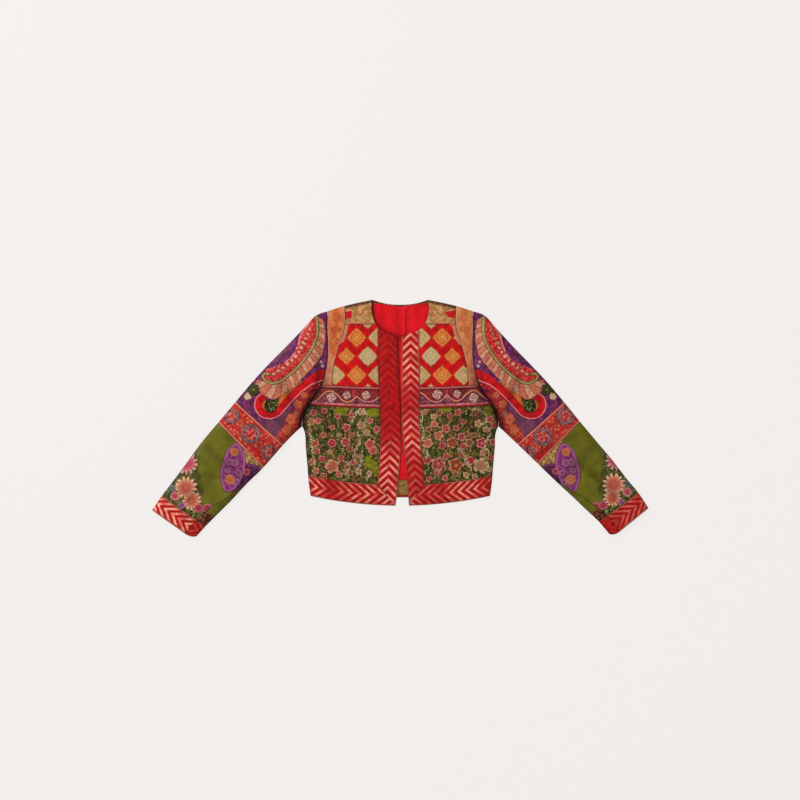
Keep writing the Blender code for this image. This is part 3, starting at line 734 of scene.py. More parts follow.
@dataclass(frozen=True)
class MeadowBrocade:
    """Olive brocade strewn with blossoms, leaves and trails of dots."""

    name: str = "green_brocade_meadow"
    look: Blossom = Blossom(
        petals=5,
        outer=("CC7C70", "BC2C4C", "B8AC86", "C48C70", "AC6C48", "A04C48", "CC8480", "94704A"),
        middle=("983A3C", "901C38", "A07C58", "A8604C", "884024", "903C3A", "A03C40", "7C4A2C"),
        heart=("C0605C", "D87888", "90503C", "A04A40", "C89058", "C08070", "B84C50", "5E3418"),
        depth=0.34,
        rough=0.62,
        mottle=0.65,
        eye=0.7,
        rim=0.65,
    )

    def dress(self) -> Material:
        """Leaves and dots in clumps, plain clearings, the placed blossoms, and the trails of pale dots."""
        p = Paint(self.name)
        patch = p.noise((55, 40), 3.0)
        ground = p.mix(patch.step(0.40, 0.62), "1E2807", "46520E")
        far, chance = p.cells((150, 110))
        codes = ("3A4A16", "5C681E", "222C0C", "727E34", "2E3E12", "80503A", "465618", "6E4030")
        leaves = p.ramp(chance, codes)
        colour = p.mix(far.step(0.52, 0.30), ground, leaves)
        colour = p.shade(far.line(0.56, 0.06, 0.05), colour, 0.55)
        stem = abs(p.noise((75, 48), 1.0) - 0.5)
        colour = p.mix(stem.step(0.020, 0.004) * 0.7, colour, "8E8656")
        clump = p.noise((42, 30), 1.0).step(0.46, 0.60)
        dot, pick = p.cells((200, 175))
        dots = p.ramp(pick, ("A89C6C", "3C4A14", "905044", "28340F", "B8A878", "4A581A", "9A6450", "2C3A10"))
        colour = p.mix(dot.step(0.42, 0.22) * (clump * 0.7 + 0.25), colour, dots)
        clear = (p.field("open") + p.wobble[0] * 0.5).step(0.34, 0.62)
        plain = p.mottle((60, 160), 2.0, (0.3, 0.7), "626A0C", "808A18")
        colour = p.mix(clear, colour, plain)
        colour = p.blossom(colour, self.look)
        trail = p.field("trail") + p.wobble[1] * 0.0060
        bead, pick = p.cells((300, 300))
        colour = p.shade(trail.step(0.0062, 0.0030), colour, 0.60)
        pale = p.mix(pick.step(0.4, 0.6), "A8A06A", "D2CAAA")
        colour = p.mix(trail.step(0.0048, 0.0020) * bead.step(0.50, 0.30), colour, pale)
        raised = p.field("bloom_radius").step(1.0, 0.7)
        return p.close(colour, 0.58, 0.04, raised * 0.00030 + dot.step(0.4, 0.2) * 0.0001, 0.15)


@dataclass(frozen=True)
class OliveBrocade:
    """Plain olive brocade with purple medallions, and chrysanthemums by the cuff."""

    name: str = "green_brocade_medallion"
    look: Blossom = Blossom(
        petals=13,
        outer=("E6C8A8", "DCA8A8", "B890A8", "C8905C", "CC8090", "38461A", "C89C78", "70849A"),
        middle=("B86450", "B0485C", "84487C", "B4643C", "9C2C48", "48541E", "B06A4C", "4E6478"),
        heart=("B05840", "8A2030", "B89088", "C88858", "C88088", "6E7838", "984438", "98A4B0"),
        depth=0.44,
        ring=0.26,
        twist=0.12,
        rough=0.26,
        mottle=0.35,
        eye=0.6,
    )

    def dress(self) -> Material:
        """Olive, then medallions, corner and flower bed by their signed distances, then the blossoms."""
        p = Paint(self.name)
        colour = p.mottle((16, 16), 3.0, (0.30, 0.72), "5A6010", "707822")
        colour = p.mix(p.noise((110, 60), 3.0).step(0.30, 0.75) * 0.5, colour, "666A12")
        medallion, corner, garden = p.fields("plot", 0.0022)
        near = garden.step(-0.010, 0.010)
        leafy = p.mottle((95, 95), 1.0, (0.42, 0.58), "2A380F", "4E5C1A")
        colour = p.mix(near, colour, leafy)
        scroll = abs(p.noise((75, 75), 1.0) - 0.52).step(0.022, 0.008)
        colour = p.mix(scroll * near * 0.8, colour, "A8A678")
        fine, chance = p.cells((230, 230))
        tan = p.mottle((170, 170), 1.0, (0.42, 0.60), "7A6030", "C2A668")
        tan = p.mix(fine.step(0.24, 0.14) * chance.step(0.6, 0.64), tan, "8A3C30")
        colour = p.mix(corner.step(-0.0006, 0.0006), colour, tan)
        second = p.field("second") + p.wobble[0] * 0.0022
        for shape, rim, deep, light in (
            (second, "7A3C70", "3E1444", "5A2658"),
            (medallion, "A05C94", "6A2468", "8A3E80"),
        ):
            purple = p.mix(p.noise((90, 90), 3.0).step(0.36, 0.66), deep, light)
            purple = p.mix(fine.step(0.34, 0.14) * chance.step(0.5, 0.6) * 0.6, purple, "B07C9C")
            purple = p.mix(shape.line(0.0030, 0.0024, 0.0014) * 0.8, purple, rim)
            colour = p.shade(shape.line(-0.0010, 0.0010, 0.0006), colour, 0.55)
            colour = p.mix(shape.step(-0.0006, 0.0006), colour, purple)
        colour = p.blossom(colour, self.look)
        raised = p.field("bloom_radius").step(1.0, 0.7)
        return p.close(colour, 0.52, 0.03, raised * 0.00035 + medallion.step(0, 0.001) * 0.0001, 0.15)


@dataclass(frozen=True)
class VineBrocade:
    """Dark mauve border with roses over and under a waving vine."""

    name: str = "vine_brocade"
    pendant: float = 0.112

    def dress(self) -> Material:
        """The vine is its curve's signed distance; roses lie under it, and a pendant hangs at one x."""
        p = Paint(self.name)
        across, along, vine = p.fields("band", 0.0024)
        x, y, _ = p.fields("bloom", 0.20)
        rosy = p.field("bloom_radius") + p.wobble[0] * 0.20
        patch = p.noise((60, 60), 2.0).step(0.35, 0.6)
        below = vine.step(0.0006, -0.0006)
        dark = p.mottle((120, 120), 2.0, (0.4, 0.6), "52141C", "78303A")
        purple = p.mottle((110, 110), 2.0, (0.42, 0.62), "601C3C", "8A4A60")
        colour = p.mix(below, dark, purple)
        far, chance = p.cells((230, 230))
        bits = p.ramp(chance, ("7A2C34", "A8705C", "5A1C30", "6E4A28", "94424A", "4A1828", "9A7478"))
        colour = p.mix(far.step(0.44, 0.22) * 0.6, colour, bits)
        crimson = p.noise((32, 24), 1.0).step(0.50, 0.64)
        colour = p.mix(crimson * (1 - below) * 0.45, colour, "941C24")
        drop = abs(along - self.pendant)
        pendant = drop.step(0.0036, 0.0018) * (across + 0.002).step(0.0, 0.005)
        colour = p.mix(pendant * 0.7, colour, "B4484C")
        tuft = drop.step(0.0080, 0.0030) * below * (across + 0.020).step(0.002, 0.008)
        colour = p.mix(tuft * patch * 0.6, colour, "C8A0B4")
        folds = (y.do("ARCTAN2", x) * 4 + rosy * 8).sin()
        rose = p.mix(folds.step(-0.7, 0.7), "8E6468", "CCB0A4")
        colour = p.shade(rosy.step(1.25, 1.02), colour, 0.5)
        colour = p.mix(rosy.step(1.02, 0.90), colour, rose)
        colour = p.mix(rosy.step(0.34, 0.18) * 0.6, colour, "A04A50")
        colour = p.shade(vine.line(-0.0022, 0.0016, 0.0008), colour, 0.6)
        peach = p.mottle((40, 40), 1.0, (0.42, 0.58), "CE8A66", "C88488")
        colour = p.mix(vine.line(0, 0.0015, 0.0007), colour, peach)
        colour = p.mix(across.step(0.0204, 0.0218), colour, "B86A68")
        colour = p.shade(across.line(0.0186, 0.0014, 0.0010), colour, 0.5)
        colour = p.mix(across.line(-0.0186, 0.0020, 0.0010) * (patch * 0.6 + 0.4), colour, "CC8080")
        colour = p.mix(across.step(-0.0206, -0.0216), colour, "A0222A")
        relief = rosy.step(1.0, 0.6) * 0.0003 + vine.line(0, 0.0012, 0.0006) * 0.0002
        return p.close(colour, 0.56, 0.05, relief, 0.15)


@dataclass(frozen=True)
class DiamondBrocade:
    """Red brocade with staggered diamonds, ringed in their middles."""

    name: str = "diamond_brocade"
    across: float = 0.0510
    down: float = 0.0900
    half_wide: float = 0.0247
    half_high: float = 0.0247

    def lattice(self, p: Paint, start: float, height: float) -> tuple[Val, Val, Val]:
        """One row set: the place inside the nearest diamond as |x| + |y|, its radius, and its number."""
        place = (p.u - start) / self.across + 0.5
        number = place.do("FLOOR")
        x = place.cell() * self.across
        y = ((p.v - height) / self.down + 0.5).cell() * self.down
        radius = length_of(x, y)
        diamond = abs(x) / self.half_wide + abs(y) / self.half_high
        return diamond + radius * 9 - 0.12, radius, abs((number / 2).fract() * 2)

    def dress(self) -> Material:
        """Two interleaved sets of diamonds, orange and tan in turn, and an edging by the armhole strip."""
        p = Paint(self.name)
        red = p.mottle((60, 60), 3.0, (0.35, 0.7), "C80A14", "A8060C")
        fleck, chance = p.cells((260, 260))
        colour = p.mix(fleck.step(0.30, 0.15) * chance.step(0.75, 0.8) * 0.4, red, "D8483A")
        raised = []
        for start, height, size, first, second in (
            (0.1045, 0.1940, 0.0, ("C0601A", "DC9A54"), ("AC965C", "CEBE8E")),
            (0.0780, 0.1490, 0.16, ("A8A074", "CABE94"), ("C06220", "DA9850")),
        ):
            diamond, radius, odd = self.lattice(p, start, height)
            diamond = diamond + odd * size
            body = p.mix(odd.step(0.4, 0.6), first[0], second[0])
            pale = p.mix(odd.step(0.4, 0.6), first[1], second[1])
            grain = p.noise((330, 330), 1.0)
            fill = p.mix(grain.step(0.35, 0.65) * 0.6, body, pale)
            fill = p.mix(diamond.line(0.84, 0.05, 0.05) * 0.8, fill, pale)
            fill = p.shade(diamond.line(0.62, 0.05, 0.05) * 0.6, fill, 0.75)
            fill = p.mix(radius.line(0.0078, 0.0011, 0.0008), fill, pale)
            fill = p.shade(radius.line(0.0060, 0.0009, 0.0008), fill, 0.72)
            fill = p.mix(radius.step(0.0052, 0.0036), fill, pale)
            fill = p.shade(radius.step(0.0018, 0.0010), fill, 0.62)
            colour = p.mix(diamond.step(1.22, 1.04) * 0.30, colour, body)
            colour = p.mix(diamond.step(1.04, 0.96), colour, fill)
            raised.append(diamond.step(1.02, 0.94))
        side = p.field("strip_gap") - 0.0085 + p.wobble[0] * 0.0030
        colour = p.mix(side.step(0.0016, -0.0016), colour, p.mix(p.noise((90, 90), 2.0), "B06A50", "C9A080"))
        return p.close(colour, 0.5, 0.04, raised[0].high(raised[1]) * 0.0003, 0.15)


@dataclass(frozen=True)
class GoldBrocade:
    """Tan-gold yoke brocade with green flecks, one red patch and a pink edge."""

    name: str = "gold_brocade"

    def dress(self) -> Material:
        """Small ringed spots on gold, with the red patch by its signed distance."""
        p = Paint(self.name)
        square, shoulder, foot = p.fields("plot", 0.0020)
        far, chance = p.cells((120, 105))
        colour = p.mottle((70, 90), 3.0, (0.35, 0.65), "A87646", "D0A874")
        colour = p.mix(far.line(0.36, 0.06, 0.05) * 0.7, colour, "8A7A40")
        colour = p.mix(far.step(0.22, 0.12), colour, p.ramp(chance, ("B4583C", "CFA878", "7C8448", "A0483A")))
        colour = p.mix(p.noise((230, 230), 1.0).step(0.52, 0.70) * 0.6, colour, "84603A")
        colour = p.mix(square.step(-0.0006, 0.0006), colour, "B8141E")
        colour = p.mix(foot.step(0.0052, 0.0036), colour, "BC8A6C")
        colour = p.mix(foot.step(0.0016, 0.0008), colour, "A0242A")
        dark = p.mottle((200, 200), 1.0, (0.45, 0.6), "363C1C", "84463C")
        colour = p.mix(shoulder.step(0.0095, 0.0060), colour, dark)
        return p.close(colour, 0.52, 0.08, far.line(0.36, 0.06, 0.04) * 0.0002, 0.15)


@dataclass(frozen=True)
class TrellisBrocade:
    """Peach strip brocade with red-brown lozenges down it."""

    name: str = "trellis_brocade"
    pitch: float = 0.0285

    def dress(self) -> Material:
        """Lozenges: |across| and |along| from each repeat's middle, ringed twice, with spots between them.

        The field's third number is 1 on the right strip, and lower on the left one, which is paler.
        """
        p = Paint(self.name)
        off, along, contrast = p.fields("band", 0.0024)
        x = abs(off)
        y = abs((along / self.pitch).cell()) * self.pitch
        lozenge = x / 0.0105 + y / 0.0125
        patch = p.noise((70, 50), 3.0).step(0.32, 0.68)
        peach = p.mix(contrast, p.mix(patch, "E0A474", "CA8454"), p.mix(patch, "D88C4C", "C06A3C"))
        foot = (along + p.wobble[0] * 0.02).step(0.160, 0.120)
        pale = p.mix(contrast, p.mix(patch, "C87C48", "A85A34"), p.mix(patch, "DCA888", "CC8A6C"))
        peach = p.mix(foot, peach, pale)
        grain = p.noise((300, 300), 1.0)
        colour = p.mix(grain.step(0.46, 0.66) * 0.55, peach, "A85A40")
        faded = contrast * (patch * 0.5 + 0.5) * (along.step(0.120, 0.190) * 0.8 + 0.2)
        ring = lozenge.line(1.0, 0.14, 0.06).high(lozenge.line(0.42, 0.12, 0.05))
        colour = p.mix(ring * faded, colour, "9A2412")
        half = abs((along / self.pitch + 0.5).cell()) * self.pitch
        spot = length_of(x, half)
        colour = p.mix(spot.line(0.0040, 0.0010, 0.0006) * faded, colour, "B85428")
        long = p.field("long_edge") + p.wobble[0] * 0.0016
        colour = p.mix(long.step(0.0034, 0.0022), colour, "D0A088")
        colour = p.mix(long.step(0.0012, 0.0006), colour, "843432")
        return p.close(colour, 0.5, 0.06, ring * 0.0002, 0.15)


@dataclass(frozen=True)
class PaisleyBrocade:
    """Purple brocade with one large paisley: beaded cord, red body, petal frill, ribbon and drop."""

    name: str = "paisley_brocade"
    petal: float = 0.0205
    bead: float = 0.0042
    look: Blossom = Blossom(
        petals=5,
        outer=("CC8C7C", "B44C34", "243010", "B8A884", "A08498", "A84038"),
        middle=("D8B49C", "C46A48", "3A4A18", "C8B896", "C0A4B4", "C4705A"),
        heart=("A83C3C", "A83424", "8A8848", "8A6A48", "74406C", "C89070"),
        ring=0.40,
        rough=0.40,
    )

    def grounds(self, p: Paint) -> Socket:
        """The purple field, greyed by the border, with the red thicket by the armhole's foot."""
        far, chance = p.cells((170, 170))
        purple = p.mottle((85, 85), 3.0, (0.35, 0.66), "4E1848", "78306A")
        grey = p.mottle((210, 160), 1.0, (0.38, 0.62), "8C6C68", "5A384C")
        low, high, thicket = p.fields("ground", 0.0030)
        colour = p.mix(high.step(-0.006, 0.008) * 0.8, purple, grey)
        colour = p.mix(low.step(-0.004, 0.006) * 0.6, colour, "70485C")
        colour = p.mix(far.step(0.25, 0.14) * chance.step(0.6, 0.66) * 0.5, colour, "9A7894")
        bush = p.mottle((60, 90), 3.0, (0.36, 0.62), "982028", "C44A34")
        twigs = p.ramp(chance, ("CC7458", "7A2440", "C86038", "A8282C", "6A1A28"))
        bush = p.mix(far.step(0.46, 0.16) * 0.7, bush, twigs)
        return p.mix(thicket.step(-0.002, 0.002), colour, bush)

    def bands(self, p: Paint, colour: Socket) -> Socket:
        """The grey leaf, the red ribbon with its speckled lower band, the orange one and the drop."""
        far, chance = p.cells((190, 190))
        ribbon, along, leaf = p.fields("ribbon", 0.0022)
        colour = p.mix(leaf.step(0.0056, 0.0040), colour, p.mix(p.noise((200, 200)), "8C8462", "565E3A"))
        under = ribbon.step(-0.0220, -0.0208) * (1 - ribbon.step(-0.0080, -0.0074)) * along.step(0.118, 0.100)
        specks = p.ramp(chance, ("C8484A", "6E1020", "D88A6C", "8A2028"))
        speck = p.mix(far.step(0.34, 0.20), "961622", specks)
        colour = p.mix(under, colour, speck)
        orange, drop, _ = p.fields("drop", 0.0020)
        amber = p.mix(p.noise((150, 150)), "D07A28", "B86424")
        colour = p.mix(abs(orange).step(0.0068, 0.0058), colour, amber)
        red = p.mottle((80, 80), 3.0, (0.35, 0.7), "CC101C", "A20A14")
        colour = p.shade(abs(ribbon).step(0.0104, 0.0090), colour, 0.55)
        colour = p.mix(abs(ribbon).step(0.0092, 0.0084), colour, red)
        colour = p.mix(ribbon.line(-0.0086, 0.0013, 0.0006), colour, "D88890")
        green = p.mottle((140, 140), 1.0, (0.4, 0.6), "1E2C12", "3A4A1C")
        green = p.mix(far.step(0.34, 0.2) * chance.step(0.45, 0.5), green, "B4AE88")
        colour = p.mix(drop.step(-0.0024, -0.0014), colour, "18220C")
        return p.mix(drop.step(-0.0004, 0.0004), colour, green)

    def dress(self) -> Material:
        """Layers from the ground up, each by its signed distance from a curve or an outline."""
        p = Paint(self.name)
        far, chance = p.cells((170, 170))
        colour = self.bands(p, self.grounds(p))
        cord, along, frill = p.fields("cord")
        cord, frill = cord + p.wobble[0] * 0.0018, frill + p.wobble[1] * 0.0024
        sweep = along / self.petal - cord * 14
        beat = sweep.fract()
        lobes = abs((sweep * np.pi).sin())
        fan = p.mix(beat.line(0.5, 0.25, 0.12), "CCA488", "C47460")
        fan = p.mix(p.noise((150, 150), 3.0).step(0.38, 0.62) * 0.6, fan, "A85C46")
        fan = p.shade(beat.line(0.25, 0.050, 0.04).high(beat.line(0.75, 0.050, 0.04)), fan, 0.50)
        flared = frill + lobes * 0.0022
        colour = p.shade(flared.step(-0.0034, -0.0010), colour, 0.55)
        colour = p.mix(flared.step(-0.0002, 0.0008), colour, fan)
        body, outline, _ = p.fields("body", 0.0018)
        inner = p.mottle((90, 90), 3.0, (0.38, 0.64), "B4141E", "C03A3C")
        inner = p.mix(far.step(0.36, 0.14) * chance.step(0.4, 0.5) * 0.6, inner, "D49484")
        colour = p.mix(body.step(-0.0004, 0.0004), colour, inner)
        colour = p.mix(outline.step(0.0019, 0.0009), colour, "D88890")
        colour = p.blossom(colour, self.look)
        pearl = ((along / self.bead).cell() * self.bead * 2).do("ABSOLUTE")
        size = abs(cord)
        colour = p.mix(size.step(0.0046, 0.0036), colour, "2A340F")
        beads = p.mix(pearl.step(0.0030, 0.0012), "6C6630", "BEB47A")
        colour = p.mix(size.step(0.0030, 0.0022), colour, beads)
        relief = size.step(0.0042, 0.001) * 0.0006 + flared.step(-0.0002, 0.002) * 0.0002
        relief = relief + body.step(-0.0004, 0.001) * 0.0002
        return p.close(colour, 0.54, 0.05, relief, 0.15)


@dataclass(frozen=True)
class RosetteBrocade:
    """Red border with grey-blue ringed rosettes between two pale edges."""

    name: str = "rosette_brocade"

    def dress(self) -> Material:
        """Mottled flowers on red; each rosette is a broken ring of short dashes round a mottled middle."""
        p = Paint(self.name)
        far, chance = p.cells((125, 125))
        colour = p.mottle((60, 60), 3.0, (0.36, 0.62), "B0161E", "C44438")
        flowers = p.ramp(chance, ("CC6C4C", "A01C28", "C08458", "B43830", "D08464", "B83028"))
        colour = p.shade(far.line(0.50, 0.08, 0.07), colour, 0.70)
        colour = p.mix(far.step(0.50, 0.22) * 0.8, colour, flowers)
        x, y, tone = p.fields("bloom", 0.20)
        radius = p.field("bloom_radius") + p.wobble[0] * 0.26
        turn = y.do("ARCTAN2", x)
        big = 1 - tone.step(0.30, 0.36)
        patch = p.noise((130, 130), 3.0)
        heart = p.mix(patch.step(0.42, 0.60), "981620", "C86058")
        heart = p.mix(radius.line(0.45, 0.10, 0.09) * patch.step(0.35, 0.55) * 0.6, heart, "C08C88")
        small = p.mix(radius.step(0.6, 0.2), p.ramp(tone, ("76809C", "C0664C", "A84038")), "8E202C")
        colour = p.mix(radius.step(1.04, 0.90) * (big * 0.3 + 0.6), colour, p.mix(big, small, heart))
        dash = (turn * (17 / (2 * np.pi)) + radius * 0.4).cell()
        petals = abs(dash).step(0.44, 0.24) * radius.line(0.83, 0.17, 0.08)
        colour = p.shade(radius.line(0.85, 0.22, 0.08) * big, colour, 0.50)
        grey = p.mix(patch.step(0.4, 0.6), "5E5C6C", "84808C")
        colour = p.mix(petals * big * patch.step(0.26, 0.44), colour, grey)
        row = p.field("row_edge") + p.wobble[0] * 0.0020
        colour = p.mix(row.step(0.0072, 0.0062), colour, "B0141E")
        colour = p.mix(row.line(0.0024, 0.0020, 0.0008), colour, p.mix(patch, "CC9480", "C07064"))
        return p.close(colour, 0.52, 0.06, petals * 0.0003 + far.step(0.46, 0.3) * 0.0001, 0.15)


@dataclass(frozen=True)
class UnderSleeveBrocade:
    """The under sleeve, pieced like the top: purple above, a red border, and olive to the cuff."""

    name: str = "paisley_brocade_under"

    def dress(self) -> Material:
        """Three grounds by the place along the sleeve, with red-brown flowers beside the cuff."""
        p = Paint(self.name)
        top, foot, cuff = p.fields("plot", 0.0022)
        far, chance = p.cells((75, 75))
        fine, pick = p.cells((190, 190))
        purple = p.mottle((70, 70), 3.0, (0.35, 0.68), "451A4E", "6B3070")
        purple = p.mix(far.step(0.52, 0.40), purple, p.ramp(chance, ("A81A26", "2C3C16", "B8705C", "B8702C")))
        purple = p.mix(far.step(0.26, 0.16), purple, "BEB08A")
        red = p.mix(fine.step(0.46, 0.3), "AC1620", p.ramp(pick, ("D0704C", "5C6478", "C8905C", "8A2038")))
        olive = p.mottle((20, 20), 3.0, (0.3, 0.7), "4A520F", "666E1E")
        petals = p.ramp(pick, ("8A3626", "5A2418", "A06840", "6E2A34"))
        flower = p.mix(fine.step(0.48, 0.30), "3A2414", petals)
        olive = p.mix((cuff + (p.noise((50, 50), 2.0) - 0.5) * 0.03).step(0.032, 0.024), olive, flower)
        colour = p.mix(top.step(-0.0006, 0.0006), purple, red)
        colour = p.mix(foot.step(-0.0006, 0.0006), colour, olive)
        colour = p.mix(abs(top).step(0.0034, 0.0022).high(abs(foot).step(0.0034, 0.0022)), colour, "CC9480")
        return p.close(colour, 0.52, 0.05, far.step(0.5, 0.4) * 0.0002, 0.15)


@dataclass(frozen=True)
class BackBrocade:
    """Olive brocade of the back, with an even half-drop repeat of blossoms."""

    name: str = "green_brocade_back"
    pitch: float = 0.060
    radius: float = 0.0135

    def dress(self) -> Material:
        """Two interleaved squares of blossoms on leafy olive."""
        p = Paint(self.name)
        far, chance = p.cells((150, 130))
        colour = p.mottle((50, 50), 2.0, (0.42, 0.62), "2C3810", "59661C")
        leaves = p.ramp(chance, ("3A4C16", "5E6C26", "22300F", "7A8444", "9A4640", "B4AA80"))
        colour = p.mix(far.step(0.48, 0.28), colour, leaves)
        for shift, outer, middle in ((0.0, "C26A5A", "A01838"), (0.5, "BEB488", "A03236")):
            x = (p.u / self.pitch + shift).cell() * self.pitch
            y = (p.v / self.pitch + shift).cell() * self.pitch
            radius = length_of(x, y) / self.radius
            lobe = abs((y.do("ARCTAN2", x) * 3).cos())
            past = radius - lobe * 0.26 - 0.74
            colour = p.shade(past.step(0.22, 0.08), colour, 0.45)
            colour = p.mix(past.step(0.06, -0.06), colour, outer)
            colour = p.mix(radius.step(0.55, 0.45), colour, middle)
            colour = p.mix(radius.step(0.26, 0.18), colour, "E8C09A")
        return p.close(colour, 0.55, 0.05, far.step(0.4, 0.2) * 0.0001, 0.2)


@dataclass(frozen=True)
class SatinLining:
    """Bright red satin with a pressed pleat."""

    name: str = "red_lining"

    def dress(self) -> Material:
        """Satin with soft vertical shading, and painted shade along the line of its pleat."""
        p = Paint(self.name)
        colour = p.mottle((60, 12), 3.0, (0.3, 0.7), "DE1626", "C80F1C")
        pleat = p.u.line(0.0140, 0.0021, 0.0010) * p.v.step(0.196, 0.204) * p.v.step(0.264, 0.258)
        # Painted shade in the pleat's fold
        colour = p.shade(pleat, colour, 0.45)
        return p.close(colour, 0.40, 0.0, pleat * -0.0004, 0.1)


@dataclass(frozen=True)
class FacingCloth:
    """Olive-tan facing inside the back hem, with a red fold at the hem."""

    name: str = "facing_cloth"
    low: float = -0.1870
    bend: float = 0.0757

    def dress(self) -> Material:
        """Ribbed tan with flecks, and the red fold along its bent lower edge."""
        p = Paint(self.name)
        colour = p.mottle((80, 220), 3.0, (0.35, 0.65), "6E5F34", "94824E")
        far, chance = p.cells((200, 200))
        colour = p.mix(far.step(0.3, 0.2) * chance.step(0.5, 0.55), colour, "A8502C")
        row = p.v - self.low - p.u * p.u * self.bend
        colour = p.mix(row.step(0.0055, 0.0035), colour, "8E1820")
        return p.close(colour, 0.6, 0.0, far.step(0.4, 0.2) * 0.0001, 0.2)


# The jacket's cut


@dataclass(frozen=True)
class Folds:
    """Soft troughs of the cloth: the main ones, and fine creases beside them."""

    rows: tuple = (
        # side, x, y, heading in degrees, length, width, depth
        ("right", 0.262, 0.045, 62, 0.070, 0.011, 0.0030),
        ("right", 0.300, 0.010, 50, 0.055, 0.010, 0.0024),
        ("right", 0.345, -0.065, 28, 0.045, 0.010, 0.0022),
        ("right", 0.420, -0.105, 40, 0.060, 0.011, 0.0024),
        ("right", 0.470, -0.165, -38, 0.050, 0.010, 0.0018),
        ("right", 0.185, 0.015, 20, 0.045, 0.011, 0.0022),
        ("right", 0.120, -0.060, 82, 0.075, 0.014, 0.0013),
        ("left", 0.266, 0.050, 66, 0.075, 0.011, 0.0030),
        ("left", 0.310, 0.020, 45, 0.050, 0.010, 0.0022),
        ("left", 0.352, -0.070, 35, 0.045, 0.010, 0.0024),
        ("left", 0.430, -0.100, 48, 0.060, 0.011, 0.0022),
        ("left", 0.485, -0.155, -42, 0.050, 0.010, 0.0018),
        ("left", 0.190, 0.010, 15, 0.045, 0.011, 0.0024),
        ("left", 0.135, -0.070, 98, 0.070, 0.014, 0.0013),
    )
    fine: tuple = (
        # side, x, y, heading in degrees, length, width, depth
        ("right", 0.278, 0.085, 118, 0.034, 0.0060, 0.0009),
        ("right", 0.240, -0.006, 74, 0.030, 0.0050, 0.0012),
        ("right", 0.318, 0.048, 96, 0.028, 0.0050, 0.0007),
        ("right", 0.352, -0.020, 20, 0.026, 0.0050, 0.0008),
        ("right", 0.398, -0.070, 64, 0.032, 0.0060, 0.0010),
        ("right", 0.448, -0.140, 12, 0.030, 0.0050, 0.0009),
        ("right", 0.500, -0.190, -60, 0.024, 0.0045, 0.0007),
        ("right", 0.210, -0.030, 8, 0.030, 0.0060, 0.0011),
        ("right", 0.090, -0.110, 70, 0.040, 0.0080, 0.0006),
        ("right", 0.165, -0.115, 105, 0.036, 0.0080, 0.0007),
        ("right", 0.140, 0.060, 5, 0.030, 0.0060, 0.0005),
        ("right", 0.120, 0.180, 60, 0.030, 0.0070, 0.0005),
        ("left", 0.285, 0.078, 110, 0.036, 0.0060, 0.0009),
        ("left", 0.246, -0.010, 80, 0.028, 0.0050, 0.0012),
        ("left", 0.330, 0.040, 100, 0.026, 0.0050, 0.0007),
        ("left", 0.366, -0.030, 28, 0.028, 0.0050, 0.0008),
        ("left", 0.436, -0.124, 70, 0.020, 0.0040, 0.0014),
        ("left", 0.462, -0.138, 18, 0.030, 0.0050, 0.0008),
        ("left", 0.508, -0.180, -55, 0.024, 0.0045, 0.0008),
        ("left", 0.206, -0.034, 10, 0.032, 0.0060, 0.0010),
        ("left", 0.100, -0.100, 108, 0.038, 0.0080, 0.0006),
        ("left", 0.175, -0.125, 80, 0.036, 0.0080, 0.0007),
        ("left", 0.110, 0.170, 120, 0.030, 0.0070, 0.0005),
    )
    # The fold depth that paints a full shade, and the darkest painted shade
    full_shade: float = 0.0058
    darkest: float = 0.50

    def depth(self, side: Side, x: Array, y: Array) -> Array:
        """The folds' depth: each is a bell that is long along its heading and narrow across it."""
        depth = np.zeros_like(x)
        for name, at_x, at_y, heading, length, width, deep in self.rows + self.fine:
            if name == side.value:
                c, s = np.cos(np.radians(heading)), np.sin(np.radians(heading))
                along = (x - at_x) * c + (y - at_y) * s
                aside = (y - at_y) * c - (x - at_x) * s
                depth += deep * np.exp(-((along / length) ** 2) - (aside / width) ** 2)
        return depth

    def shade(self, side: Side, x: Array, y: Array) -> Array:
        """The painted shade in a fold's floor: its depth over the depth of a full shade, up to a limit."""
        return np.minimum(self.depth(side, x, y) / self.full_shade, self.darkest)


